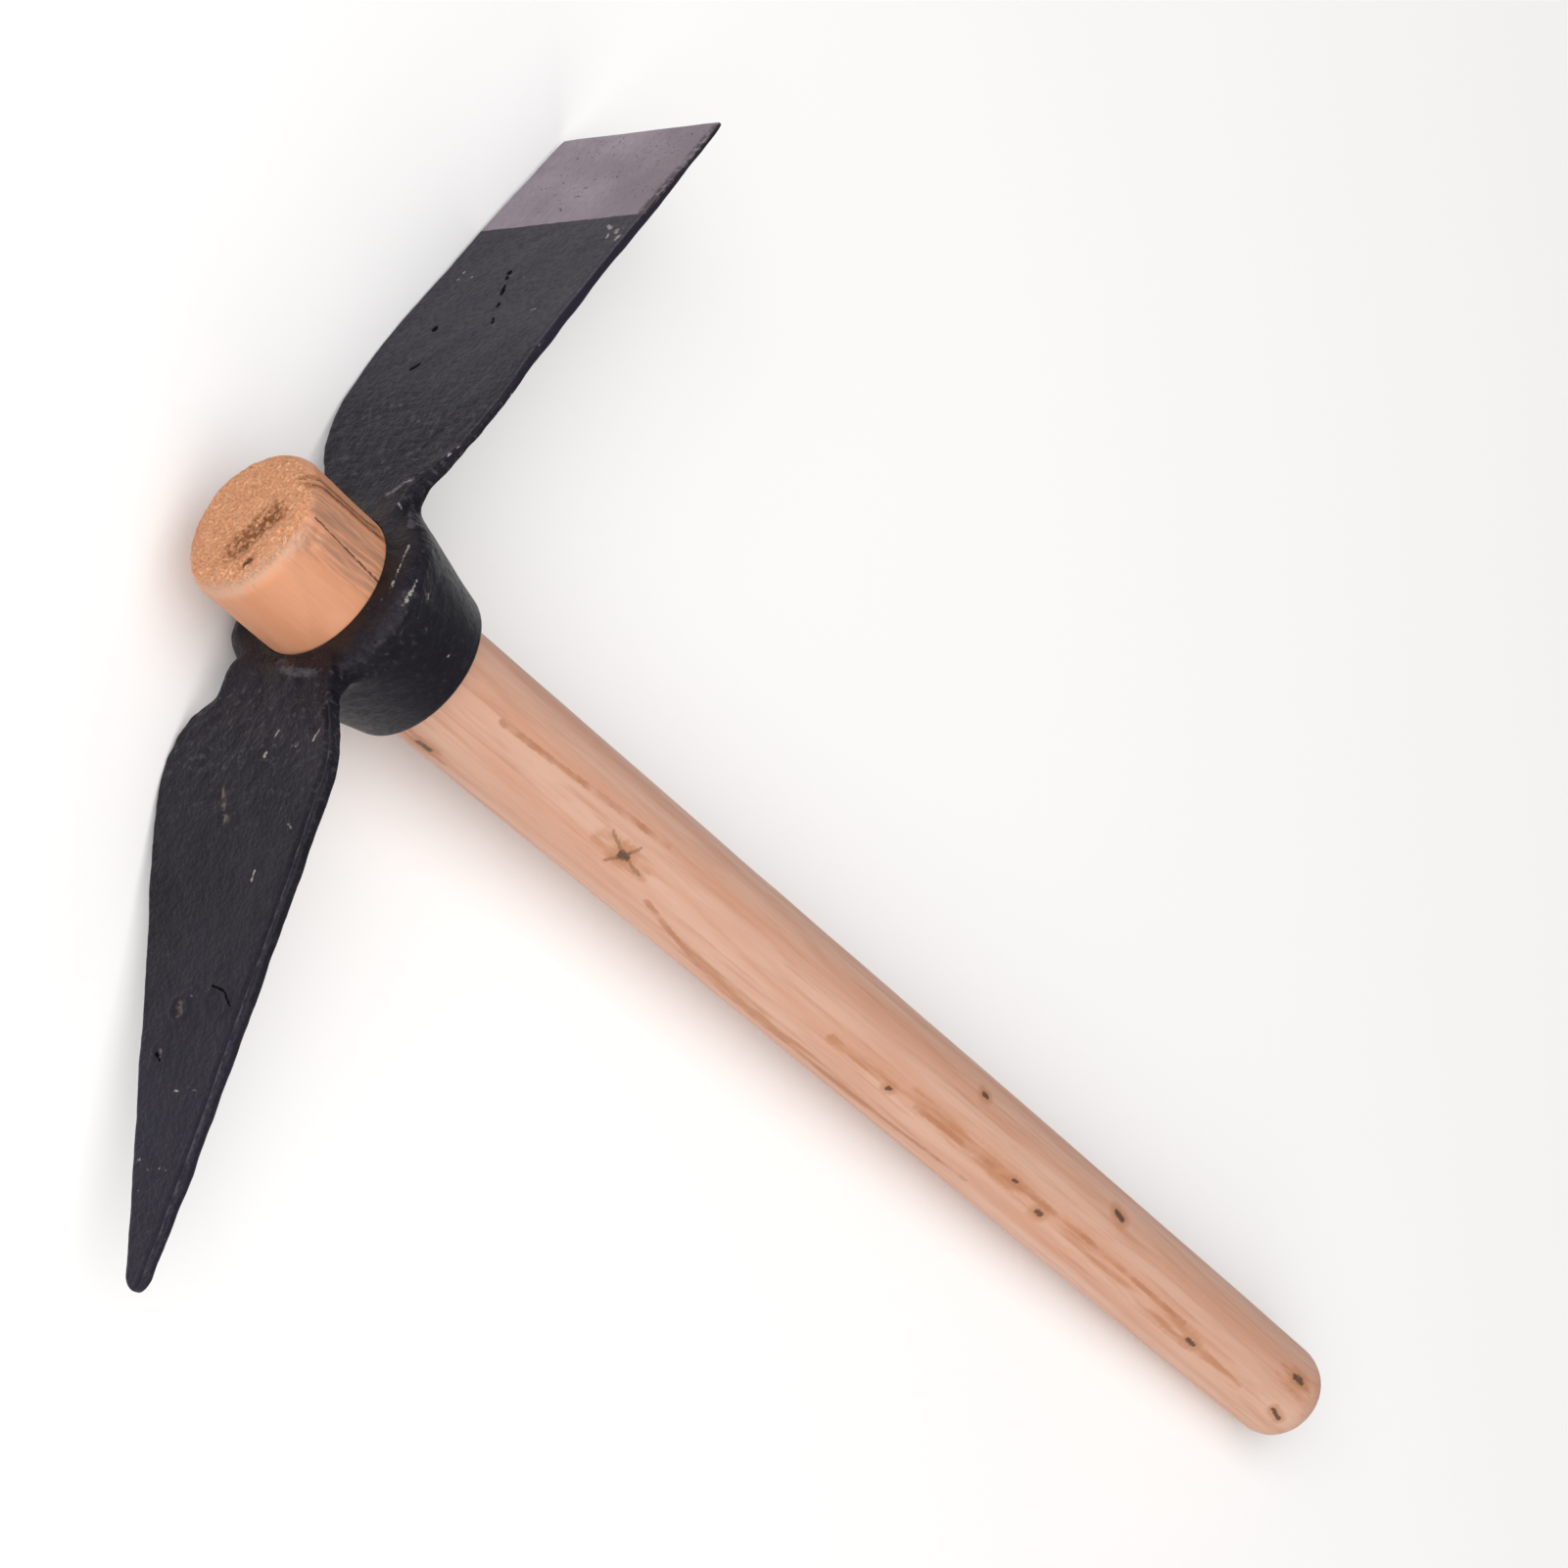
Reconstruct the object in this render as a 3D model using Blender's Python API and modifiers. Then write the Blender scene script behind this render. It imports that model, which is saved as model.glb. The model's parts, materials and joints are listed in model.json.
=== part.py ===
# Double-headed draw hoe: one forged head, a broad hoe blade on one side of the eye and a
# leaf-shaped pointed blade on the other, on a short turned wooden handle.
#
# The tool is drawn upright, with its handle along Z: +Z is the stub that stands out above
# the eye, -Z the grip, +Y the hoe blade, -Y the pointed blade and X the blades' width.
# The origin is on the handle's axis at the eye's top face. An empty then lays the tool on
# its side, so that both blades and the grip's end touch the ground.

import math

import bmesh
import bpy
import numpy as np
from mathutils import Matrix, Vector

# Handle
STUB_LENGTH = 0.0315  # above the eye's top face
STUB_RADIUS = 0.0213
STUB_ROUNDING = 0.0065
NECK_RADIUS = 0.0175  # just under the eye
GRIP_RADIUS = 0.0143
GRIP_LENGTH = 0.4155  # from the eye's lower face to the end of the dome
DOME_LENGTH = 0.0120
HANDLE_STEPS = 48
ROUNDING_STEPS = 6  # round the stub's end
DOME_STEPS = 8
GRIP_SECTIONS = 4  # lengths of the plain taper between the eye and the dome

# Eye
EYE_HEIGHT = 0.0389
EYE_TOP_RADIUS = 0.0312
EYE_BOTTOM_RADIUS = 0.0230
EYE_CROWN = 0.0026  # the top face falls by this much from the bore to the rim
SHOULDER_ACROSS = 0.0024  # the rounding between the top face and the wall
SHOULDER_DOWN = 0.0020
SHOULDER_START = 80  # degrees from the outward direction
EYE_LIP = 0.0014  # rounding of the lower rim
HANDLE_GAP = 0.0003
EYE_STEPS = 72
RIM_STEPS = 4

# Hoe blade: reach from the handle's axis, and how its top face falls towards the grip
HOE_REACH = 0.1710
HOE_LEVEL_AT = 0.0100  # where the top face would be level with the eye's
HOE_FIRST_SLOPE = 0.100
HOE_ADDED_SLOPE = 0.235
HOE_BEND_AT = 0.0720
HOE_BEND_LENGTH = 0.0120
HOE_PLATE = 0.0031
HOE_EDGE = 0.0011  # thickness at the cutting edge
HOE_GROUND_LENGTH = 0.0400
HOE_HALF_WIDTHS = (  # (distance from the axis, half-width)
    (0.0225, 0.0152),
    (0.0300, 0.0166),
    (0.0380, 0.0221),
    (0.0460, 0.0273),
    (0.0560, 0.0307),
    (0.0760, 0.0324),
    (0.1200, 0.0316),
    (0.1600, 0.0306),
    (0.1690, 0.0302),
    (0.1710, 0.0297),
)
HOE_TOUCHES_AT = 0.0780  # where its side edge rests on the ground

# Pointed blade
POINT_REACH = 0.1900
POINT_RISE = 0.0005
POINT_SLOPE = 0.255
POINT_BEND_AT = 0.0550
POINT_BEND_LENGTH = 0.0060
POINT_PLATE = 0.0035
POINT_EDGE = 0.0022
POINT_THINNING_LENGTH = 0.0300
POINT_HALF_WIDTHS = (
    (0.0225, 0.0190),
    (0.0285, 0.0198),
    (0.0340, 0.0216),
    (0.0420, 0.0276),
    (0.0500, 0.0311),
    (0.0560, 0.0320),
    (0.0640, 0.0311),
    (0.0760, 0.0290),
    (0.1000, 0.0238),
    (0.1300, 0.0167),
    (0.1600, 0.0098),
    (0.1760, 0.0065),
    (0.1840, 0.0052),
    (0.1885, 0.0036),
    (0.1900, 0.0014),
)
POINT_TOUCHES_AT = 0.0570

# Both blades: the root thickens into the eye's wall
ROOT_THICKENING = 0.0090
ROOT_FADE_LENGTH = 0.0070
ROOT_START = 0.0225
SIDE_ROUNDING = 0.30  # radius of the side edge's two corners, as a share of the thickness
WIDEST_INSET = 0.4  # the most of the half-width that such a corner takes up
SECTIONS = 36
SECTION_CROWDING = 1.35  # above 1, the sections are closer together towards the end
SLOPE_STEP = 0.0001
CORNER_STEPS = 2

# Where two turned points count as one, and where a smoothly shaded face ends
MERGE_DISTANCE = 0.00005
SHARP_ANGLE = 35  # degrees

# Finishes: colour, roughness
PAINT_COLOR = (0.045, 0.043, 0.052)
PAINT_ROUGHNESS = 0.45
WOOD_COLOR = (0.62, 0.40, 0.26)
WOOD_ROUGHNESS = 0.55


def clear_scene():
    for old in list(bpy.data.objects):
        bpy.data.objects.remove(old, do_unlink=True)


def make_collection(name):
    collection = bpy.data.collections.new(name)
    bpy.context.scene.collection.children.link(collection)
    return collection


def make_material(name, color, roughness):
    material = bpy.data.materials.new(name)
    material.use_nodes = True
    shader = material.node_tree.nodes["Principled BSDF"]
    shader.inputs["Base Color"].default_value = (*color, 1.0)
    shader.inputs["Roughness"].default_value = roughness
    material.diffuse_color = (*color, 1.0)
    return material


def add_object(name, mesh, collection, material=None):
    obj = bpy.data.objects.new(name, mesh)
    collection.objects.link(obj)
    if material:
        mesh.materials.append(material)
    return obj


def arc(centre_x, centre_z, radius_x, radius_z, start, end, steps):
    # Points of an elliptic arc in the XZ plane, angles in degrees from +X
    angles = np.radians(np.linspace(start, end, steps + 1))
    return [(centre_x + radius_x * math.cos(a), centre_z + radius_z * math.sin(a)) for a in angles]


def turned(name, profile, closed, steps, collection, material=None):
    # Profile points (x, z), carried once round the Z axis
    edges = [(i, i + 1) for i in range(len(profile) - 1)]
    if closed:
        edges.append((len(profile) - 1, 0))
    mesh = bpy.data.meshes.new(name)
    mesh.from_pydata([(x, 0.0, z) for x, z in profile], edges, [])
    obj = add_object(name, mesh, collection, material)
    screw = obj.modifiers.new("Turn", "SCREW")
    screw.axis = "Z"
    screw.angle = math.tau
    screw.steps = steps
    screw.render_steps = steps
    screw.use_merge_vertices = True
    screw.merge_threshold = MERGE_DISTANCE
    screw.use_normal_calculate = False
    return obj


def smooth_through(stations, at):
    # Cubic curve through the stations, level with the neighbours' slope at each one
    known = np.array(stations)
    slopes = np.gradient(known[:, 1], known[:, 0])
    right = np.clip(np.searchsorted(known[:, 0], at), 1, len(known) - 1)
    left = right - 1
    step = known[right, 0] - known[left, 0]
    t = np.clip((at - known[left, 0]) / step, 0.0, 1.0)
    return (
        (2 * t**3 - 3 * t**2 + 1) * known[left, 1]
        + (t**3 - 2 * t**2 + t) * step * slopes[left]
        + (3 * t**2 - 2 * t**3) * known[right, 1]
        + (t**3 - t**2) * step * slopes[right]
    )


def soft_ramp(distance, length):
    # Zero before the bend, rising with slope 1 after it, rounded over about its length
    return length * np.log1p(np.exp(distance / length))


def hoe_top(reach):
    # Height of the hoe blade's top face: a slight fall from the eye, steeper past the bend
    bend = soft_ramp(reach - HOE_BEND_AT, HOE_BEND_LENGTH)
    return -HOE_FIRST_SLOPE * (reach - HOE_LEVEL_AT) - HOE_ADDED_SLOPE * bend


def point_top(reach):
    # Height of the pointed blade's top face: level by the eye, then falling from the bend on
    return POINT_RISE - POINT_SLOPE * soft_ramp(reach - POINT_BEND_AT, POINT_BEND_LENGTH)


def plate_thickness(reach, plate, edge, end, thinning):
    # Thick at the root, plain along the plate, thin at the working end
    root = ROOT_THICKENING * np.exp(-(reach - ROOT_START) / ROOT_FADE_LENGTH)
    from_end = np.clip((end - reach) / thinning, 0.0, 1.0)
    return edge + (plate - edge) * from_end + root


def section_outline():
    # One cross-section of a plate whose side edge is flat between two rounded corners:
    # (share of the half-width, depth below the top face and inset from the side edge, both
    # as shares of the thickness)
    angles = np.linspace(0.5 * math.pi, 0.0, CORNER_STEPS + 1)
    corner = [
        (SIDE_ROUNDING * (1.0 - math.sin(angle)), SIDE_ROUNDING * (1.0 - math.cos(angle)))
        for angle in angles
    ]
    upper = [(1.0, depth, inset) for depth, inset in corner]
    lower = [(1.0, 1.0 - depth, inset) for depth, inset in reversed(corner)]
    top = [(0.0, 0.0, 0.0), (0.5, 0.0, 0.0)]
    bottom = [(0.5, 1.0, 0.0), (0.0, 1.0, 0.0)]
    half = top + upper + lower + bottom
    mirrored = [(-across, down, inset) for across, down, inset in half[-2:0:-1]]
    return half + mirrored


def blade(name, top_line, half_widths, reach, plate, edge, thinning, side, collection):
    # A loft along the blade: each section stands square to the top face's line
    spacing = np.linspace(0.0, 1.0, SECTIONS)
    crowded = 1.0 - (1.0 - spacing) ** SECTION_CROWDING
    along = ROOT_START + (reach - ROOT_START) * crowded
    half_width = smooth_through(half_widths, along)
    height = top_line(along)
    rise = top_line(along + SLOPE_STEP) - top_line(along - SLOPE_STEP)
    slope = rise / (2.0 * SLOPE_STEP)
    normal_along = slope / np.hypot(slope, 1.0)
    normal_up = -1.0 / np.hypot(slope, 1.0)
    thickness = plate_thickness(along, plate, edge, reach, thinning)
    across, down, inset = np.array(section_outline()).T
    edge_inset = np.minimum(inset * thickness[:, None], WIDEST_INSET * half_width[:, None])
    x = across * half_width[:, None] - np.sign(across) * edge_inset
    depth = down * thickness[:, None]
    y = along[:, None] + depth * normal_along[:, None]
    z = height[:, None] + depth * normal_up[:, None]
    bm = bmesh.new()
    rings = []
    for ring in np.stack([x, side * y, z], axis=2):
        rings.append([bm.verts.new(point) for point in ring])
    count = len(rings[0])
    for first, second in zip(rings, rings[1:]):
        for i in range(count):
            j = (i + 1) % count
            bm.faces.new((first[i], first[j], second[j], second[i]))
    bm.faces.new(rings[0])
    bm.faces.new(rings[-1])
    bmesh.ops.recalc_face_normals(bm, faces=bm.faces)
    mesh = bpy.data.meshes.new(name)
    bm.to_mesh(mesh)
    bm.free()
    return add_object(name, mesh, collection)


def eye_ring(collection, material):
    # Tapered collar with a tapered bore: wider at the top, where the handle's flare jams
    bore_top = STUB_RADIUS + HANDLE_GAP
    bore_bottom = NECK_RADIUS + HANDLE_GAP
    profile = [(bore_top, 0.0)]
    profile += arc(
        EYE_TOP_RADIUS - SHOULDER_ACROSS, -EYE_CROWN - SHOULDER_DOWN,
        SHOULDER_ACROSS, SHOULDER_DOWN, SHOULDER_START, 0, RIM_STEPS,
    )
    profile += arc(
        EYE_BOTTOM_RADIUS - EYE_LIP, -EYE_HEIGHT + EYE_LIP,
        EYE_LIP, EYE_LIP, 0, -90, RIM_STEPS,
    )
    profile.append((bore_bottom, -EYE_HEIGHT))
    return turned("forged_head", profile, True, EYE_STEPS, collection, material)


def unite(obj, other):
    union = obj.modifiers.new("Forge " + other.name, "BOOLEAN")
    union.operation = "UNION"
    union.solver = "EXACT"
    union.object = other
    other.hide_render = True
    other.display_type = "WIRE"


def forged_head(parts, cutters, material):
    head = eye_ring(parts, material)
    hoe = blade(
        "hoe_blade", hoe_top, HOE_HALF_WIDTHS, HOE_REACH,
        HOE_PLATE, HOE_EDGE, HOE_GROUND_LENGTH, 1.0, cutters,
    )
    point = blade(
        "pointed_blade", point_top, POINT_HALF_WIDTHS, POINT_REACH,
        POINT_PLATE, POINT_EDGE, POINT_THINNING_LENGTH, -1.0, cutters,
    )
    unite(head, hoe)
    unite(head, point)
    return head, [hoe, point]


def wooden_handle(collection, material):
    end = -EYE_HEIGHT - GRIP_LENGTH
    profile = [(0.0, STUB_LENGTH)]
    profile += arc(
        STUB_RADIUS - STUB_ROUNDING, STUB_LENGTH - STUB_ROUNDING,
        STUB_ROUNDING, STUB_ROUNDING, 90, 0, ROUNDING_STEPS,
    )
    profile.append((STUB_RADIUS, 0.0))
    profile.append((NECK_RADIUS, -EYE_HEIGHT))
    for share in np.arange(1, GRIP_SECTIONS) / GRIP_SECTIONS:
        radius = NECK_RADIUS + (GRIP_RADIUS - NECK_RADIUS) * share
        profile.append((radius, -EYE_HEIGHT - (GRIP_LENGTH - DOME_LENGTH) * share))
    profile += arc(0.0, end + DOME_LENGTH, GRIP_RADIUS, DOME_LENGTH, 0, -90, DOME_STEPS)
    return turned("wooden_handle", profile, False, HANDLE_STEPS, collection, material)


def box_corners(obj):
    graph = bpy.context.evaluated_depsgraph_get()
    evaluated = obj.evaluated_get(graph)
    mesh = evaluated.to_mesh()
    corners = [evaluated.matrix_world @ vertex.co for vertex in mesh.vertices]
    evaluated.to_mesh_clear()
    low = Vector([min(corner[axis] for corner in corners) for axis in range(3)])
    high = Vector([max(corner[axis] for corner in corners) for axis in range(3)])
    return low, high


def lay_on_side(rest, pieces):
    # Ground plane through the three touch points: a side edge of each blade, and the grip
    hoe_width = max(width for _, width in HOE_HALF_WIDTHS)
    hoe_height = float(hoe_top(HOE_TOUCHES_AT)) - 0.5 * HOE_PLATE
    hoe = Vector((-hoe_width, HOE_TOUCHES_AT, hoe_height))
    point_width = max(width for _, width in POINT_HALF_WIDTHS)
    point_height = float(point_top(POINT_TOUCHES_AT)) - 0.5 * POINT_PLATE
    point = Vector((-point_width, -POINT_TOUCHES_AT, point_height))
    grip = Vector((-GRIP_RADIUS, 0.0, -EYE_HEIGHT - GRIP_LENGTH + DOME_LENGTH))
    up = (hoe - grip).cross(point - grip).normalized()
    if up.x < 0.0:
        up.negate()
    along = Vector((0.0, 0.0, -1.0))
    along = (along - up * along.dot(up)).normalized()
    across = up.cross(along)
    turn = Matrix((along, across, up)).to_4x4()
    rest.matrix_world = turn
    bpy.context.view_layer.update()
    boxes = [box_corners(piece) for piece in pieces]
    low = Vector([min(box[0][axis] for box in boxes) for axis in range(3)])
    high = Vector([max(box[1][axis] for box in boxes) for axis in range(3)])
    centre = 0.5 * (low + high)
    rest.matrix_world = Matrix.Translation((-centre.x, -centre.y, -low.z)) @ turn
    bpy.context.view_layer.update()


def shade(obj):
    graph = bpy.context.evaluated_depsgraph_get()
    mesh = bpy.data.meshes.new_from_object(obj.evaluated_get(graph))
    mesh.shade_smooth()
    mesh.set_sharp_from_angle(angle=math.radians(SHARP_ANGLE))
    obj.modifiers.clear()
    obj.data = mesh


def build():
    clear_scene()
    parts = make_collection("draw_hoe")
    cutters = make_collection("cutters")
    black_paint = make_material("black_paint", PAINT_COLOR, PAINT_ROUGHNESS)
    bare_wood = make_material("bare_wood", WOOD_COLOR, WOOD_ROUGHNESS)
    rest = bpy.data.objects.new("rest_on_side", None)
    parts.objects.link(rest)
    handle = wooden_handle(parts, bare_wood)
    head, blades = forged_head(parts, cutters, black_paint)
    for piece in (handle, head, *blades):
        piece.parent = rest
    bpy.context.view_layer.update()
    shade(handle)
    shade(head)
    lay_on_side(rest, (handle, head))


build()
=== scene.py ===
import json
import math

import bpy
import numpy as np
from mathutils import Matrix, Vector


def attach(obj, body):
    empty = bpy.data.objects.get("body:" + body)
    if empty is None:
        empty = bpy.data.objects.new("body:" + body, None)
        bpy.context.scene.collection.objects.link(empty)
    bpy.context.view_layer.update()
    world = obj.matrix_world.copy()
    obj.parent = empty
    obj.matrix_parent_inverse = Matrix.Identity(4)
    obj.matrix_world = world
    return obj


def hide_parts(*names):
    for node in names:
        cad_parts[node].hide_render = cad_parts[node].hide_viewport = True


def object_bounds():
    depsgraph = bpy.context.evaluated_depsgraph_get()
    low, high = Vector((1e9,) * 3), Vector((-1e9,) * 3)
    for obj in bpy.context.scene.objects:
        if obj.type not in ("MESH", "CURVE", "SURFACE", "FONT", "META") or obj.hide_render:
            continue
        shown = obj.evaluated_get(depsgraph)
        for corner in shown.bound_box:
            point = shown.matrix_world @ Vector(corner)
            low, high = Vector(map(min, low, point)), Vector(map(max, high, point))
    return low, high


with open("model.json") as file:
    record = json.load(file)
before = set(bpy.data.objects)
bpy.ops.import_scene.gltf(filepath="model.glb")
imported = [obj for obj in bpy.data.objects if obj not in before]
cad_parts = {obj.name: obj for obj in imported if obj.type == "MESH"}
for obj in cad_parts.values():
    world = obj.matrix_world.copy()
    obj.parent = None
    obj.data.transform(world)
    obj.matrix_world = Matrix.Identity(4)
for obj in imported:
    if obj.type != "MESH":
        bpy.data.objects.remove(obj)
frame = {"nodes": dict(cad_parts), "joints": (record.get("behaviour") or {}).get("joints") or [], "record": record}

# A double-headed draw hoe: one forged head in black paint on a short bare wooden handle.
# Shapes are worked out in the tool's own axes and turned into place at the end: Z is the way
# the stub points, Y the way the hoe blade reaches, X across the blades, and the origin is on
# the handle's axis at the eye's top face. Lengths are in metres, and in millimetres where a
# row of small details says so.

cadLow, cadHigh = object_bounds()
mm = 0.001


def softRamp(distance, length):
    # zero before the bend and rising with slope 1 after it: length times log(1 + e^(d/length))
    return length * np.log1p(np.exp(distance / length))


def smoothStep(low, high, values):
    # 0 below low, 1 above high, and 3t^2 - 2t^3 between them
    part = np.clip((values - low) / (high - low), 0.0, 1.0)
    return part * part * (3.0 - 2.0 * part)


def hump(band, values):
    # rises from 0 to 1 between the band's first two values, and falls between its last two
    return smoothStep(band[0], band[1], values) * smoothStep(band[3], band[2], values)


def smoothThrough(stations, at):
    # cubic curve through the stations, with the mean slope of the neighbours at each one
    known = np.array(stations)
    slopes = np.gradient(known[:, 1], known[:, 0])
    right = np.clip(np.searchsorted(known[:, 0], at), 1, len(known) - 1)
    left = right - 1
    step = known[right, 0] - known[left, 0]
    part = np.clip((at - known[left, 0]) / step, 0.0, 1.0)
    return (
        (2 * part**3 - 3 * part**2 + 1) * known[left, 1]
        + (part**3 - 2 * part**2 + part) * step * slopes[left]
        + (3 * part**2 - 2 * part**3) * known[right, 1]
        + (part**3 - part**2) * step * slopes[right]
    )


def latticeNoise(points, cell, seed):
    # random values from -1 to 1 on a cubic lattice of side cell, blended between its eight
    # corners with smooth steps
    values = np.random.default_rng(seed).uniform(-1.0, 1.0, 4096)
    scaled = points / cell
    base = np.floor(scaled).astype(np.int64)
    part = scaled - base
    blend = part * part * (3.0 - 2.0 * part)
    total = np.zeros(len(points))
    for corner in np.ndindex(2, 2, 2):
        x, y, z = (base + corner).T
        index = (x * 73856093 ^ y * 19349663 ^ z * 83492791) & 4095  # scatters the corners
        weight = np.prod(np.where(corner, blend, 1.0 - blend), axis=1)
        total += weight * values[index]
    return total


def noiseSum(points, rows):
    # the sum of weight times noise over rows of (cell, weight, seed)
    return sum(weight * latticeNoise(points, cell, seed) for cell, weight, seed in rows)


def evenly(path, spacing):
    # the points of a path, put again at even steps of about the spacing along each piece
    path = np.array(path)
    lengths = np.hypot(*np.diff(path, axis=0).T)
    travelled = np.concatenate([[0.0], np.cumsum(lengths)])
    stops = [
        np.linspace(start, end, max(1, round((end - start) / spacing)), endpoint=False)
        for start, end in zip(travelled, travelled[1:])
    ]
    stops = np.concatenate(stops + [travelled[-1:]])
    return np.stack([np.interp(stops, travelled, path[:, i]) for i in (0, 1)], axis=1)


def arc(centre, radii, start, end, steps):
    # points of an ellipse's arc, centre + radii times (cos, sin), from start to end in degrees
    angles = np.radians(np.linspace(start, end, steps + 1))
    return np.stack(
        [centre[0] + radii[0] * np.cos(angles), centre[1] + radii[1] * np.sin(angles)], axis=1
    )


def spun(profile, sides):
    # a profile of (radius, height) carried once round Z: x = r cos a, y = r sin a, z = height
    angles = np.arange(sides) * 2.0 * math.pi / sides
    radius, height = profile[:, 0, None], profile[:, 1, None]
    points = [radius * np.cos(angles), radius * np.sin(angles), height + 0.0 * angles]
    return np.stack(points, axis=2).reshape(-1, 3)


def gridFaces(rows, columns, closedRows):
    # the quads of a grid of points whose columns run round; its rows may close up as well
    last = rows if closedRows else rows - 1
    row, column = np.meshgrid(np.arange(last), np.arange(columns), indexing="ij")
    nextRow = (row + 1) % rows
    nextColumn = (column + 1) % columns
    corners = [
        row * columns + column, row * columns + nextColumn,
        nextRow * columns + nextColumn, nextRow * columns + column,
    ]
    return np.stack(corners, axis=-1).reshape(-1, 4)


def capFan(ring, centre, outwardLast):
    # triangles from each two neighbours in a ring of point numbers to a centre point
    following = np.roll(ring, -1)
    middle = np.full_like(ring, centre)
    order = (ring, following, middle) if outwardLast else (following, ring, middle)
    return np.stack(order, axis=1)


def meshFrom(name, points, quads, triangles=()):
    # one mesh object from whole arrays of points, quads and triangles
    quads = np.asarray(quads, dtype=np.int32).reshape(-1, 4)
    triangles = np.asarray(triangles, dtype=np.int32).reshape(-1, 3)
    mesh = bpy.data.meshes.new(name)
    mesh.from_pydata(points.tolist(), [], quads.tolist() + triangles.tolist())
    mesh.update()
    piece = bpy.data.objects.new(name, mesh)
    bpy.context.scene.collection.objects.link(piece)
    return piece


def pointsOf(mesh):
    # the mesh's points as rows of x, y, z
    flat = np.empty(len(mesh.vertices) * 3)
    mesh.vertices.foreach_get("co", flat)
    return flat.reshape(-1, 3)


def putPoints(mesh, points):
    # the rows of x, y, z back into the mesh
    mesh.vertices.foreach_set("co", points.ravel())
    mesh.update()


def toolMatrix():
    # the tool's axes in the world: the joint slides along Z, and the head's vertices that
    # stand farthest off the handle's axis are the pointed blade's tip, towards -Y
    stubWay = np.array(frame["joints"][0]["axis"])
    stubWay = stubWay / np.linalg.norm(stubWay)
    stubEnd = np.array(frame["record"]["mounts"][0]["pos_m"])
    origin = stubEnd - stubWay * handleShape["stubLength"]
    offsets = pointsOf(frame["nodes"]["forged_head"].data) - origin
    offsets -= np.outer(offsets @ stubWay, stubWay)
    distances = np.linalg.norm(offsets, axis=1)
    tip = offsets[distances > distances.max() - 0.1 * mm].mean(axis=0)
    hoeWay = -tip / np.linalg.norm(tip)
    across = np.cross(hoeWay, stubWay)
    matrix = np.eye(4)
    matrix[:3, :3] = np.stack([across, hoeWay, stubWay], axis=1)
    matrix[:3, 3] = origin
    return Matrix(matrix.tolist())


cameraPlace = {
    "lens": 176.8,
    "sensor": 36.0,
    "distance": 2.0,
    "back": (0.6871, -0.3947, 0.6100),  # from the eye towards the camera, in the tool's axes
    "up": (0.0296, 0.8541, 0.5193),
    "aim": (0.1201, -0.0518),  # where it points: metres right of the eye, and above it
    "farthest": 100.0,
}


def placeCamera(tool):
    # stands at the aim plus back times distance, with its axes made square by cross products
    turn = tool.to_3x3()
    back = (turn @ Vector(cameraPlace["back"])).normalized()
    up = turn @ Vector(cameraPlace["up"])
    right = up.cross(back).normalized()
    up = back.cross(right)
    aim = tool.translation + right * cameraPlace["aim"][0] + up * cameraPlace["aim"][1]
    data = bpy.data.cameras.new("camera")
    data.lens = cameraPlace["lens"]
    data.sensor_width = cameraPlace["sensor"]
    data.clip_end = cameraPlace["farthest"]
    camera = bpy.data.objects.new("camera", data)
    bpy.context.scene.collection.objects.link(camera)
    matrix = Matrix((right, up, back)).transposed().to_4x4()
    matrix.translation = aim + back * cameraPlace["distance"]
    camera.matrix_world = matrix
    bpy.context.scene.camera = camera


eyeShape = {
    "height": 0.0389,
    "topRadius": 0.0312,
    "bottomRadius": 0.0230,
    "crown": 0.0008,  # the top face falls by this much before the shoulder starts
    "shoulder": (0.0080, 0.0058),  # across and down
    "shoulderTurn": 78.0,  # degrees of the shoulder's arc
    "tuck": 0.2,  # share of the taper that the shoulder has already lost
    "lip": 0.0016,
    "arcSteps": (8, 5),
    "gap": 0.0003,  # between the bore and the handle
    "sides": 220,
    "spacing": 0.0009,
}

hoeShape = {
    "side": 1.0,
    "start": 0.0225,
    "reach": 0.1710,
    "topLine": (0.0, 0.100, 0.010, 0.235, 0.0720, 0.0120),  # see topLine
    "plate": 0.0025,
    "edge": 0.0011,
    "thinning": 0.0400,
    "halfWidths": (
        (0.0225, 0.0152), (0.0300, 0.0166), (0.0380, 0.0221), (0.0460, 0.0273),
        (0.0560, 0.0307), (0.0760, 0.0324), (0.1200, 0.0316), (0.1600, 0.0306),
        (0.1690, 0.0302), (0.1710, 0.0297),
    ),
    "rounding": (0.0008, 0.0007),  # corner radius at the root and at the end
    "tipRounding": 0.0004,
    "groove": (0.0017, 0.0006, 0.00010),  # in from the right edge, half its width, its depth
    "leftExtra": ((0.0200, 0.0), (0.1710, 0.0)),  # how much wider the left side is than the right
}

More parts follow.
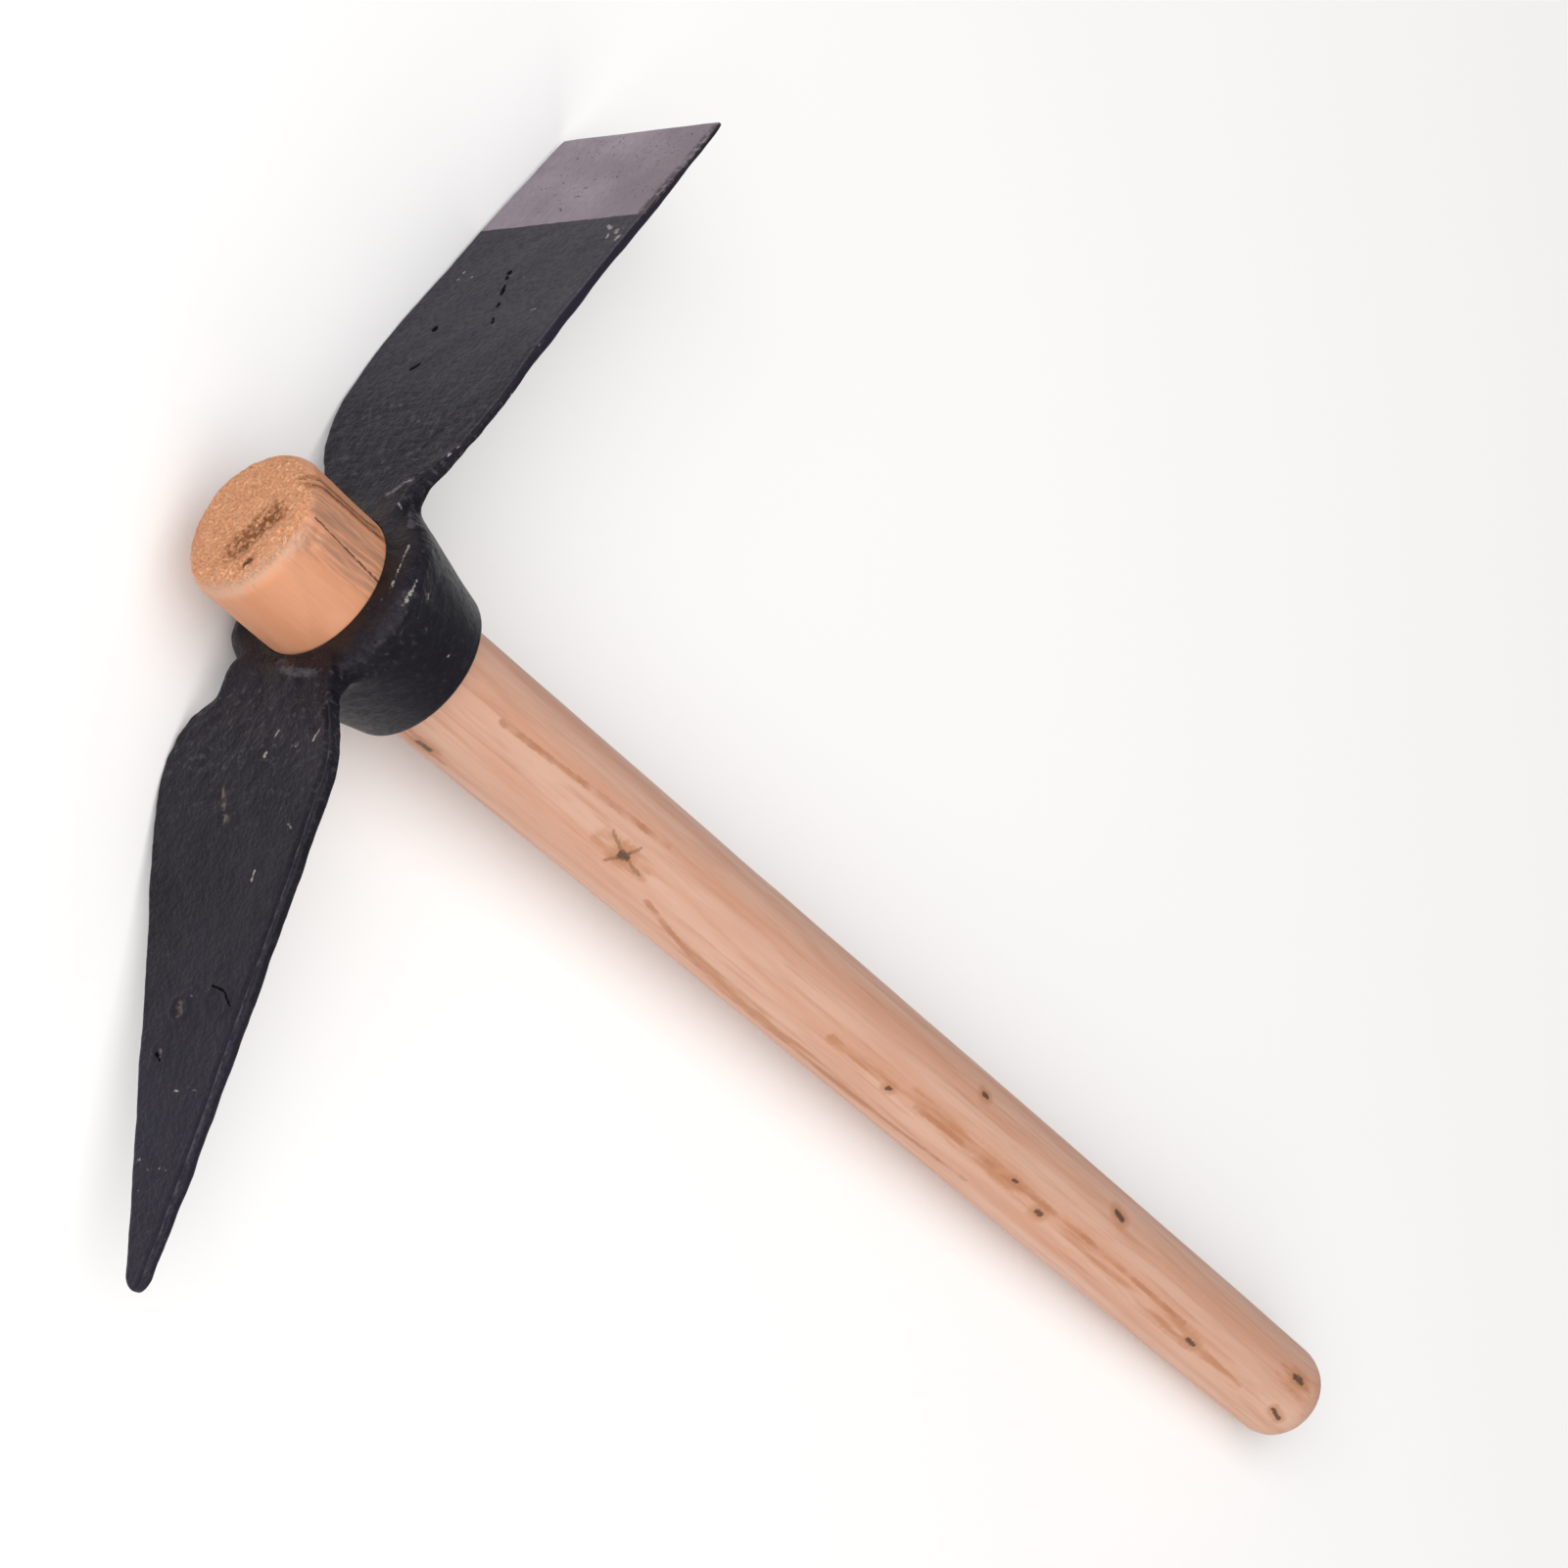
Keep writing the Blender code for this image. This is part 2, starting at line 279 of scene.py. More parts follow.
pointShape = {
    "side": -1.0,
    "start": 0.0225,
    "reach": 0.1900,
    "topLine": (0.0005, 0.0, 0.0, 0.255, 0.0550, 0.0060),
    "plate": 0.0035,
    "edge": 0.0022,
    "thinning": 0.0300,
    "halfWidths": (
        (0.0225, 0.0178), (0.0285, 0.0190), (0.0340, 0.0211), (0.0420, 0.0263),
        (0.0500, 0.0306), (0.0560, 0.0320), (0.0640, 0.0311), (0.0760, 0.0290),
        (0.1000, 0.0238), (0.1300, 0.0168), (0.1600, 0.0098), (0.1760, 0.0060),
        (0.1840, 0.0040), (0.1900, 0.0031),
    ),
    "rounding": (0.0008, 0.0015),
    "tipRounding": 0.0042,
    "groove": (0.0021, 0.0005, 0.00060),
    "leftExtra": (
        (0.0225, 0.0045), (0.0270, 0.0032), (0.0320, 0.0014), (0.0346, 0.0010), (0.0367, 0.0025),
        (0.0409, 0.0036), (0.0483, 0.0018), (0.0560, 0.0004), (0.0700, 0.0), (0.1200, 0.0),
        (0.1500, 0.0007), (0.1700, 0.0010), (0.1840, 0.0012), (0.1900, 0.0012),
    ),
}

forging = {
    "spacing": 0.0010,  # size of the blades' mesh
    "rowCrowding": 1.25,
    "edgeCrowding": 0.5,
    "endCrowding": 1.3,
    "cornerSteps": 6,
    "rootThickening": 0.0090,
    "rootFade": 0.0070,
    "endWidth": 0.04,  # share of the width left at the very end
    "endSinking": 0.30,  # share of the thickness lost from each face at the very end
    "fullestRounding": 0.4,
    "outline": 0.00017,
    "outlineNoise": ((0.0070, 1.0, 31), (0.0028, 0.5, 32)),  # cell, weight and seed
    "outlineBand": (0.4, 1.0),  # part of the half width that the outline's wavering moves
    "outlineFrom": (0.026, 0.040),
    "outlineEnd": (0.0, 0.012),
    "rootBand": (0.012, 0.020),  # fillets: how far along Y, and how far from the axis
    "filletBand": (0.0225, 0.0250, 0.0360, 0.0440),
    "filletWeight": 0.5,
    "filletRounds": 40,
    "skinBand": (0.0224, 0.0260),  # nothing is hammered nearer to the axis, in the bore
    "waves": 0.00022,  # slow unevenness of the hammered faces
    "waveNoise": ((0.016, 1.0, 3), (0.008, 0.6, 4)),
    "lumps": 0.00008,
    "lumpNoise": ((0.0032, 1.0, 5), (0.0019, 0.5, 6)),
    "neckLumps": 0.00022,  # more of them where the blades are drawn down to their necks
    "neckBand": (0.024, 0.034, 0.045, 0.070),
    "calming": 0.65,  # share of the lumps taken off the hoe's plate and the collar
    "calmPlate": (0.045, 0.085),
    "calmCollar": ((-0.006, -0.012), (0.040, 0.033)),  # in height and in distance from the axis
    "topFacing": (0.2, 0.6),
    # (x, y, z, size, rise) in millimetres: places where the eye is fuller
    "swellings": ((-25.0, -15.0, -3.0, 12.0, 3.0), (-21.0, -24.0, -1.5, 5.0, 0.8)),
    # (x, y, radius, depth, rim height) in millimetres, pressed into the top faces
    "craters": (
        (-2.8, -69.0, 1.9, 0.70, 0.35), (-5.0, -118.0, 2.2, 0.80, 0.50),
        (-9.1, -129.4, 2.0, 0.50, 0.30), (-15.3, 90.0, 1.0, 0.35, 0.0),
        (-11.6, 74.8, 1.1, 0.30, 0.0), (4.0, 95.0, 1.2, 0.30, 0.0),
        (6.5, 89.5, 1.1, 0.30, 0.0), (-3.2, 110.5, 1.1, 0.25, 0.0),
        (8.8, -116.6, 3.2, 0.05, 0.30),
    ),
    "craterCurve": (1.5, 12.0, 1.35),  # fall of the hollow, fall of the rim, radius of the rim
    # (x, y, radius, height) in millimetres, laps left on the top faces
    "laps": (
        (1.0, -25.5, 3.0, 0.8), (7.0, -28.5, 3.4, 0.9), (12.0, -27.5, 2.6, 0.6),
        (11.5, 31.0, 2.4, 0.45), (17.0, 24.0, 2.0, 0.40), (24.5, 42.5, 1.8, 0.5),
        (22.0, 38.5, 2.0, 0.5),
    ),
    "lapLumps": 0.5,
}


def topLine(shape, reach):
    # height of a blade's top face: its level at the eye, less an even fall, less a steeper
    # fall that comes in softly past the bend
    level, fall, fallFrom, bendFall, bendAt, bendLength = shape["topLine"]
    bent = softRamp(reach - bendAt, bendLength)
    return level - fall * (reach - fallFrom) - bendFall * bent


def plateSections(shape):
    # one row per section: half of its outline runs out along the top face, round the upper
    # corner (x = w - r + r sin t, depth = r - r cos t), round the lower one and back below
    widest = max(width for _, width in shape["halfWidths"])
    share = np.linspace(0.0, 1.0, round(widest / forging["spacing"]) + 1)
    share = share + forging["edgeCrowding"] * share * (1.0 - share)
    turn = np.linspace(0.0, 0.5 * math.pi, forging["cornerSteps"])[1:]
    none, full = np.zeros(len(share)), np.ones(len(turn))
    flatPart = np.concatenate([share, full, [1.0], full, share[::-1]])
    cornerPart = np.concatenate([none, np.sin(turn), [1.0], np.sin(turn[::-1]), none])
    topFall = np.concatenate([none, 1.0 - np.cos(turn)])
    lowerRise = np.concatenate([1.0 - np.cos(turn[::-1]), none])
    return flatPart, cornerPart, topFall, lowerRise


def bladeSurface(name, shape):
    # sections square to the top line, closer together towards the end, where the outline is
    # the quarter of an ellipse on each side: width times sqrt(1 - (1 - t)^2)
    length = shape["reach"] - shape["start"]
    rows = round(forging["rowCrowding"] * length / forging["spacing"])
    crowded = 1.0 - (1.0 - np.linspace(0.0, 1.0, rows + 1)) ** forging["endCrowding"]
    along = shape["start"] + length * crowded
    fromEnd = shape["reach"] - along
    tipRound = np.sqrt(1.0 - (1.0 - np.clip(fromEnd / shape["tipRounding"], 0.0, 1.0)) ** 2)
    halfWidth = smoothThrough(shape["halfWidths"], along)
    halfWidth = halfWidth * np.maximum(tipRound, forging["endWidth"])
    root = forging["rootThickening"] * np.exp(-(along - shape["start"]) / forging["rootFade"])
    thinned = np.clip(fromEnd / shape["thinning"], 0.0, 1.0)
    thickness = shape["edge"] + (shape["plate"] - shape["edge"]) * thinned + root
    sunk = forging["endSinking"] * thickness * (1.0 - tipRound)
    thickness = thickness - 2.0 * sunk
    rounding = np.interp(along, (along[0], along[-1]), shape["rounding"])
    fullest = forging["fullestRounding"] * np.minimum(thickness, halfWidth)
    rounding = np.minimum(rounding, fullest)[:, None]

    flatPart, cornerPart, topFall, lowerRise = plateSections(shape)
    x = flatPart * (halfWidth[:, None] - rounding) + cornerPart * rounding
    depth = np.concatenate([
        topFall * rounding, 0.5 * thickness[:, None], thickness[:, None] - lowerRise * rounding,
    ], axis=1)
    onTop = np.arange(len(flatPart)) < len(topFall)
    x = np.concatenate([x, -x[:, -2:0:-1]], axis=1)
    depth = np.concatenate([depth, depth[:, -2:0:-1]], axis=1) + sunk[:, None]
    onTop = np.concatenate([onTop, onTop[-2:0:-1]])

    # a groove beside the right-hand edge, where the edge was hammered down: depth e^-(d^2)
    inset, spread, grooveDepth = shape["groove"]
    fromEdge = (halfWidth[:, None] - x - inset) / spread
    depth = depth + onTop * grooveDepth * np.exp(-(fromEdge**2)) * tipRound[:, None]
    # each side wavers on its own, and the left one has its own outline near the root
    rim = smoothStep(*forging["outlineBand"], np.abs(x) / halfWidth[:, None])
    sideLine = np.stack([np.sign(x), x * 0.0 + along[:, None], x * 0.0], axis=2)
    waver = noiseSum(sideLine.reshape(-1, 3), forging["outlineNoise"]).reshape(x.shape)
    fade = smoothStep(*forging["outlineFrom"], along) * smoothStep(*forging["outlineEnd"], fromEnd)
    extra = (smoothThrough(shape["leftExtra"], along) * tipRound)[:, None] * (x < 0.0)
    x = x + np.sign(x) * rim * (forging["outline"] * waver * fade[:, None] + extra)

    height = topLine(shape, along)
    slope = np.gradient(height, along)
    normalAlong = (slope / np.hypot(slope, 1.0))[:, None]
    normalUp = (-1.0 / np.hypot(slope, 1.0))[:, None]
    y = along[:, None] + depth * normalAlong
    z = height[:, None] + depth * normalUp
    points = np.stack([x, shape["side"] * y, z], axis=2)
    columns = points.shape[1]
    centres = points[[0, -1]].mean(axis=1)
    quads = gridFaces(rows + 1, columns, False)
    first = capFan(np.arange(columns), (rows + 1) * columns, False)
    last = capFan(np.arange(columns) + rows * columns, (rows + 1) * columns + 1, True)
    points = np.concatenate([points.reshape(-1, 3), centres])
    triangles = np.concatenate([first, last])
    if shape["side"] < 0:
        quads, triangles = quads[:, ::-1], triangles[:, ::-1]
    return meshFrom(name, points, quads, triangles)


def eyeSurface():
    # a closed profile of a tapered collar with a tapered bore, carried once round the axis
    boreTop = handleShape["stubRadius"] + eyeShape["gap"]
    boreBottom = handleShape["neckRadius"] + eyeShape["gap"]
    across, down = eyeShape["shoulder"]
    lip, height = eyeShape["lip"], eyeShape["height"]
    topSteps, lipSteps = eyeShape["arcSteps"]
    shoulderZ = -eyeShape["crown"] - down
    taper = (eyeShape["topRadius"] - eyeShape["bottomRadius"]) / height
    shoulderRadius = eyeShape["topRadius"] + eyeShape["tuck"] * taper * shoulderZ
    corners = np.concatenate([
        [(boreTop, 0.0)],
        arc(
            (shoulderRadius - across, shoulderZ), (across, down),
            eyeShape["shoulderTurn"], 0, topSteps,
        ),
        arc((eyeShape["bottomRadius"] - lip, -height + lip), (lip, lip), 0, -90, lipSteps),
        [(boreBottom, -height), (boreTop, 0.0)],
    ])
    profile = evenly(corners, eyeShape["spacing"])[:-1]
    quads = gridFaces(len(profile), eyeShape["sides"], True)[:, ::-1]
    return meshFrom("forgedHead", spun(profile, eyeShape["sides"]), quads)


def uniteInto(piece, others):
    # the union of closed solids, kept as the piece's own mesh
    for other in others:
        union = piece.modifiers.new("forge", "BOOLEAN")
        union.operation = "UNION"
        union.solver = "MANIFOLD"
        union.object = other
    graph = bpy.context.evaluated_depsgraph_get()
    mesh = bpy.data.meshes.new_from_object(piece.evaluated_get(graph))
    piece.modifiers.clear()
    piece.data = mesh
    for other in others:
        bpy.data.objects.remove(other)


def relax(points, edges, weight, rounds):
    # each point moves towards the mean of its neighbours by its weight, a number of times
    count = len(points)
    neighbours = np.bincount(edges.ravel(), minlength=count)
    for _ in range(rounds):
        sums = np.stack([
            np.bincount(edges[:, 0], points[edges[:, 1], i], count)
            + np.bincount(edges[:, 1], points[edges[:, 0], i], count)
            for i in range(3)
        ], axis=1)
        points = points + weight[:, None] * (sums / neighbours[:, None] - points)
    return points


def fillets(mesh):
    # smoothed where the blades' roots meet the wall, but not in the bore
    points = pointsOf(mesh)
    edges = np.empty(len(mesh.edges) * 2, dtype=np.int32)
    mesh.edges.foreach_get("vertices", edges)
    reach = np.hypot(points[:, 0], points[:, 1])
    weight = smoothStep(*forging["rootBand"], np.abs(points[:, 1]))
    weight = forging["filletWeight"] * weight * hump(forging["filletBand"], reach)
    return relax(points, edges.reshape(-1, 2), weight, forging["filletRounds"])


def hammered(points, normals):
    # the skin's lift along its normals: waves and lumps of noise, hollows -d e^(-a r^2) with
    # rims h e^(-b (r - c)^2), and swellings and laps h e^(-r^2)
    reach = np.hypot(points[:, 0], points[:, 1])
    lift = forging["waves"] * noiseSum(points, forging["waveNoise"])
    lumps = noiseSum(points, forging["lumpNoise"])
    onPlate = smoothStep(*forging["calmPlate"], points[:, 1])
    calmHeight, calmReach = forging["calmCollar"]
    onCollar = smoothStep(*calmHeight, points[:, 2]) * smoothStep(*calmReach, reach)
    calm = 1.0 - forging["calming"] * np.maximum(onPlate, onCollar)
    neck = hump(forging["neckBand"], reach)
    lift += (forging["lumps"] * calm + forging["neckLumps"] * neck) * lumps
    upward = smoothStep(*forging["topFacing"], normals[:, 2])
    hollowFall, rimFall, rimRadius = forging["craterCurve"]
    for x, y, size, depth, rim in forging["craters"]:
        away = np.hypot(points[:, 0] - mm * x, points[:, 1] - mm * y) / (mm * size)
        hollow = rim * np.exp(-rimFall * (away - rimRadius) ** 2)
        lift += mm * upward * (hollow - depth * np.exp(-hollowFall * away**2))
    for x, y, z, size, rise in forging["swellings"]:
        away = np.linalg.norm(points - mm * np.array((x, y, z)), axis=1) / (mm * size)
        lift += mm * rise * np.exp(-(away**2))
    for x, y, size, rise in forging["laps"]:
        away = np.hypot(points[:, 0] - mm * x, points[:, 1] - mm * y) / (mm * size)
        lap = mm * rise * upward * np.exp(-(away**2))
        lift += lap * (1.0 + forging["lapLumps"] * lumps)
    return lift * smoothStep(*forging["skinBand"], reach)


def forgeHead():
    # the eye and both blades in one, with fillets, and hammered all over the outside
    head = eyeSurface()
    uniteInto(head, [
        bladeSurface("hoeBlade", hoeShape), bladeSurface("pointedBlade", pointShape),
    ])
    points = fillets(head.data)
    putPoints(head.data, points)
    normals = np.empty(len(points) * 3)
    head.data.vertex_normals.foreach_get("vector", normals)
    normals = normals.reshape(-1, 3)
    putPoints(head.data, points + normals * hammered(points, normals)[:, None])
    return head


handleShape = {
    "stubLength": 0.0315,  # above the eye
    "stubRadius": 0.0213,
    "stubRounding": 0.0062,
    "neckRadius": 0.0175,  # just under the eye
    "gripRadius": 0.0143,
    "gripLength": 0.4155,  # from the eye's lower face to the end of the dome
    "domeLength": 0.0120,
    "endRadius": 0.0005,  # of the small middle face of the sawn end
    "domeTurn": -88.0,
    "arcSteps": (12, 14),
    "gripSpacing": 0.0017,
    "stubSpacing": 0.0008,
    "sides": 176,
    "unevenness": 0.00030,
    "unevenStretch": (1.0, 1.0, 0.3),
    "unevenNoise": ((0.012, 1.0, 11), (0.005, 0.4, 12)),  # cell, weight and seed
    "insideEye": (-0.044, -0.037, -0.002, 0.003),  # heights between which it stays even
    "pith": (0.0060, -0.0045),  # where the pith meets the sawn end
    "facets": (  # flats cut along the stub: direction in degrees, and how deep each is cut
        (14.0, 0.00060), (47.0, 0.00050), (-18.0, 0.00030), (-150.0, 0.00030), (120.0, 0.00040),
    ),
    "facetHeights": (0.001, 0.010),
    "widestFacet": 1.2,  # radians to either side
    "splay": (55.0, 0.0011),  # the stub leans out this way, by this much at its end
    "splayFrom": 0.002,
    "splinter": (0.0206, -0.0035, 0.0265),  # where a piece is torn off the stub's edge
    "splinterSize": (0.0030, 0.0056),
    "splinterDepth": (0.0006, 0.0004),  # evenly, and by noise
    "splinterNoise": ((0.0015, 1.0, 24),),
    "splinterBand": (0.014, 0.019),
    "solidCore": (0.010, 0.018),  # nearer the axis the stub keeps its shape
    "endRoughness": 0.00060,
    "endNoise": ((0.0011, 1.0, 21), (0.0024, 0.7, 22)),
    "endBand": (0.0030, 0.0005),  # below the end, where the roughness comes in
    "endShare": (0.35, 0.65),
    "highest": 0.0004,
    "hollow": (0.72, 0.69, 0.0085, 0.0042),  # the pith's torn hollow: its way, length and width
    "hollowBand": (0.5, 1.2),
    "hollowDepth": (0.0006, 0.0009),  # evenly, and by noise
    "hollowNoise": ((0.0016, 1.0, 23),),
    "slit": ((0.0066, -0.0148), (0.0098, -0.0110)),
    "slitBand": (0.0004, 0.0010),
    "slitDepth": 0.0015,
}


def stubCuts(points):
    # flats on the stub: the radius is kept under d / cos(angle from the flat), with d the
    # radius less the cut; the end then leans out to one side, and a splinter is missing
    shape = handleShape
    radius = np.hypot(points[:, 0], points[:, 1])
    angle = np.arctan2(points[:, 1], points[:, 0])
    limit = np.full(len(points), 1.0)
    for direction, cut in shape["facets"]:
        turn = np.abs(np.angle(np.exp(1j * (angle - math.radians(direction)))))
        flat = (shape["stubRadius"] - cut) / np.cos(np.minimum(turn, shape["widestFacet"]))
        limit = np.minimum(limit, flat)
    height = smoothStep(*shape["facetHeights"], points[:, 2])
    cutRadius = radius + height * (np.minimum(radius, limit) - radius)
    direction, amount = shape["splay"]
    lean = amount * smoothStep(shape["splayFrom"], shape["stubLength"], points[:, 2])
    lean = lean * np.clip(np.cos(angle - math.radians(direction)), 0.0, 1.0)
    away = np.linalg.norm(points - np.array(shape["splinter"]), axis=1)
    torn = 1.0 - smoothStep(*shape["splinterSize"], away)
    torn = torn * smoothStep(*shape["splinterBand"], radius)
    even, rough = shape["splinterDepth"]
    lean = lean - torn * (even + rough * noiseSum(points, shape["splinterNoise"]))
    lean = lean * smoothStep(*shape["solidCore"], radius)
    share = (cutRadius + lean) / np.maximum(radius, 1e-6)
    return points * np.stack([share, share, np.ones(len(points))], axis=1)


def roughEnd(points):
    # torn end grain: quick and slow noise along Z over the sawn end, a ragged hollow at the
    # pith and a slit beside it
    shape = handleShape
    radius = np.hypot(points[:, 0], points[:, 1])
    start, full = (shape["stubLength"] - below for below in shape["endBand"])
    onEnd = smoothStep(start, full, points[:, 2])
    little, more = shape["endShare"]
    lift = shape["endRoughness"] * noiseSum(points, shape["endNoise"]) * (little + more * onEnd)
    wayX, wayY, length, width = shape["hollow"]
    offset = points[:, :2] - np.array(shape["pith"])
    along, across = offset @ np.array((wayX, wayY)), offset @ np.array((-wayY, wayX))
    torn = 1.0 - smoothStep(*shape["hollowBand"], np.hypot(along / length, across / width))
    even, rough = shape["hollowDepth"]
    lift -= torn * (even - rough * noiseSum(points, shape["hollowNoise"]))
    slitStart, slitEnd = np.array(shape["slit"])
    way = slitEnd - slitStart
    part = np.clip((points[:, :2] - slitStart) @ way / (way @ way), 0.0, 1.0)
    gap = np.linalg.norm(points[:, :2] - slitStart - part[:, None] * way, axis=1)
    lift -= shape["slitDepth"] * (1.0 - smoothStep(*shape["slitBand"], gap))
    lift = np.minimum(lift, shape["highest"])
    return points + np.stack([0.0 * lift, 0.0 * lift, lift * onEnd * (radius > 0.0)], axis=1)


def turnHandle():
    # a profile of radius against height carried round the axis; the radius is uneven by a
    # slow noise that is read in space, so that it closes up
    shape = handleShape
    end = -eyeShape["height"] - shape["gripLength"]
    rounding, stub, top = shape["stubRounding"], shape["stubRadius"], shape["stubLength"]
    dome = shape["domeLength"]
    rimSteps, domeSteps = shape["arcSteps"]
    stubPath = np.concatenate([
        [(shape["endRadius"], top)],
        arc((stub - rounding, top - rounding), (rounding, rounding), 90, 0, rimSteps),
        [(stub, 0.0)],
    ])
    gripPath = np.concatenate([
        [(stub, 0.0), (shape["neckRadius"], -eyeShape["height"])],
        arc((0.0, end + dome), (shape["gripRadius"], dome), 0, shape["domeTurn"], domeSteps),
    ])
    profile = np.concatenate([
        evenly(stubPath, shape["stubSpacing"])[:-1], evenly(gripPath, shape["gripSpacing"]),
    ])
    points = roughEnd(stubCuts(spun(profile, shape["sides"])))
    uneven = noiseSum(points * shape["unevenStretch"], shape["unevenNoise"])
    outside = 1.0 - hump(shape["insideEye"], points[:, 2])
    points[:, :2] *= 1.0 + (shape["unevenness"] * uneven * outside / stub)[:, None]
    rows, columns = len(profile), shape["sides"]
    ends = np.array([points[:columns].mean(axis=0), (0.0, 0.0, end)])
    quads = gridFaces(rows, columns, False)[:, ::-1]
    first = capFan(np.arange(columns), rows * columns, True)
    last = capFan(np.arange(columns) + (rows - 1) * columns, rows * columns + 1, False)
    points, triangles = np.concatenate([points, ends]), np.concatenate([first, last])
    return meshFrom("turnedHandle", points, quads, triangles)


def settle(piece, tool, sharpest):
    # turned into place and shaded smooth, but for edges sharper than an angle in degrees
    piece.data.transform(tool)
    piece.data.shade_smooth()
    piece.data.set_sharp_from_angle(angle=math.radians(sharpest))
    piece.data.update()


marking = {
    "jitterScale": 700.0,  # of the noise that makes the marks' outlines wobble
    "jitterDetail": 2.0,
    "core": 0.35,  # share of a mark's width that is full
    "shortest": 1e-12,  # keeps the division by a mark's squared length from failing
    "streakDetail": 3.0,
}


def addNode(tree, kind, inputs=(), output=0, **settings):
    # a node with its settings and inputs, which are values or other nodes' outputs
    node = tree.nodes.new("ShaderNode" + kind)
    for name, value in settings.items():
        setattr(node, name, value)
    feed(tree, node, dict(inputs))
    return node.outputs[output]


def feed(tree, node, inputs):
    # each input is linked when it is another node's output, and set when it is a value
    for name, value in inputs.items():
        if isinstance(value, bpy.types.NodeSocket):
            tree.links.new(value, node.inputs[name])
        else:
            node.inputs[name].default_value = value


def maths(tree, operation, first, second=0.0, clamp=False):
    # first and second put through the operation, then kept from 0 to 1 if clamped
    return addNode(tree, "Math", {0: first, 1: second}, operation=operation, use_clamp=clamp)


def product(tree, *factors):
    # all the factors multiplied together
    total = factors[0]
    for factor in factors[1:]:
        total = maths(tree, "MULTIPLY", total, factor)
    return total


def weighted(tree, first, firstWeight, second, secondWeight):
    # first times its weight, plus second times its weight
    parts = product(tree, first, firstWeight), product(tree, second, secondWeight)
    return maths(tree, "ADD", *parts)


def vectorMaths(tree, operation, first, second=(0.0, 0.0, 0.0), output=0):
    # the two vectors put through the operation; output 1 is its plain number
    return addNode(tree, "VectorMath", {0: first, 1: second}, output, operation=operation)


def scaled(tree, vector, amount):
    # the vector times a plain number
    return addNode(tree, "VectorMath", {0: vector, "Scale": amount}, operation="SCALE")


def ramp(tree, value, low, high):
    # 0 below low and 1 above high, or the other way round when high is the lower one
    return addNode(
        tree, "MapRange", {0: value, 1: low, 2: high}, interpolation_type="SMOOTHSTEP"
    )


def mixColours(tree, factor, first, second):
    # first times (1 - factor) plus second times the factor
    return addNode(tree, "Mix", {0: factor, 6: first, 7: second}, 2, data_type="RGBA")


def layer(tree, base, colourOver, mask, share=None):
    # a colour laid over the base: the factor is the mask, times its share if it has one
    factor = mask if share is None else product(tree, mask, share)
    return mixColours(tree, factor, base, colourOver)


def colour(red, green, blue):
    # linear red, green and blue, with full alpha
    return (red, green, blue, 1.0)


def newGroup(name, inputs, output):
    # an empty shader group; gives its tree, its input sockets by name, and its output node
    tree = bpy.data.node_groups.new(name, "ShaderNodeTree")
    for label, kind in inputs:
        tree.interface.new_socket(label, in_out="INPUT", socket_type="NodeSocket" + kind)
    tree.interface.new_socket(output, in_out="OUTPUT", socket_type="NodeSocketFloat")
    source = tree.nodes.new("NodeGroupInput")
    return tree, source.outputs, tree.nodes.new("NodeGroupOutput")


def markGroup():
    # Mask is 1 within about Width of the line From-To, with an outline that wobbles: the
    # distance to From + line * share, where share is (place - From) . line / line . line
    tree, given, result = newGroup("mark", (
        ("Vector", "Vector"), ("Jitter", "Vector"), ("From", "Vector"), ("To", "Vector"),
        ("Width", "Float"), ("Wobble", "Float"),
    ), "Mask")
    shift = scaled(tree, given["Jitter"], given["Wobble"])
    moved = vectorMaths(tree, "ADD", given["Vector"], shift)
    fromStart = vectorMaths(tree, "SUBTRACT", moved, given["From"])
    line = vectorMaths(tree, "SUBTRACT", given["To"], given["From"])
    travelled = vectorMaths(tree, "DOT_PRODUCT", fromStart, line, 1)
    square = vectorMaths(tree, "DOT_PRODUCT", line, line, 1)
    square = maths(tree, "MAXIMUM", square, marking["shortest"])
    share = maths(tree, "DIVIDE", travelled, square, clamp=True)
    distance = vectorMaths(tree, "DISTANCE", fromStart, scaled(tree, line, share), 1)
    core = product(tree, given["Width"], marking["core"])
    tree.links.new(ramp(tree, distance, given["Width"], core), result.inputs[0])
    return tree


def mottleGroup():
    # Value is a noise of the given Scale, spread so that it is 0 at Low and 1 at High
    tree, given, result = newGroup("mottle", (
        ("Vector", "Vector"), ("Scale", "Float"), ("Detail", "Float"),
        ("Low", "Float"), ("High", "Float"),
    ), "Value")
    noise = addNode(tree, "TexNoise", {
        "Vector": given["Vector"], "Scale": given["Scale"], "Detail": given["Detail"],
    })
    tree.links.new(ramp(tree, noise, given["Low"], given["High"]), result.inputs[0])
    return tree


def streakGroup():
    # Value is a noise drawn out into streaks: Stretch is its scale along each axis
    tree, given, result = newGroup("streaks", (
        ("Vector", "Vector"), ("Stretch", "Vector"), ("Low", "Float"), ("High", "Float"),
    ), "Value")
    drawn = vectorMaths(tree, "MULTIPLY", given["Vector"], given["Stretch"])
    noise = addNode(tree, "TexNoise", {
        "Vector": drawn, "Scale": 1.0, "Detail": marking["streakDetail"],
    })
    tree.links.new(ramp(tree, noise, given["Low"], given["High"]), result.inputs[0])
    return tree


groups = {"mark": markGroup(), "mottle": mottleGroup(), "streaks": streakGroup()}


def useGroup(tree, name, inputs):
    # the group's one output, with its named inputs linked or set
    node = tree.nodes.new("ShaderNodeGroup")
    node.node_tree = groups[name]
    feed(tree, node, inputs)
    return node.outputs[0]


def mottle(tree, place, size, low=0.3, high=0.7, detail=2.0):
    # blotches of about the given size in metres: noise read at a scale of 1 / size
    return useGroup(tree, "mottle", {
        "Vector": place, "Scale": 1.0 / size, "Detail": detail, "Low": low, "High": high,
    })


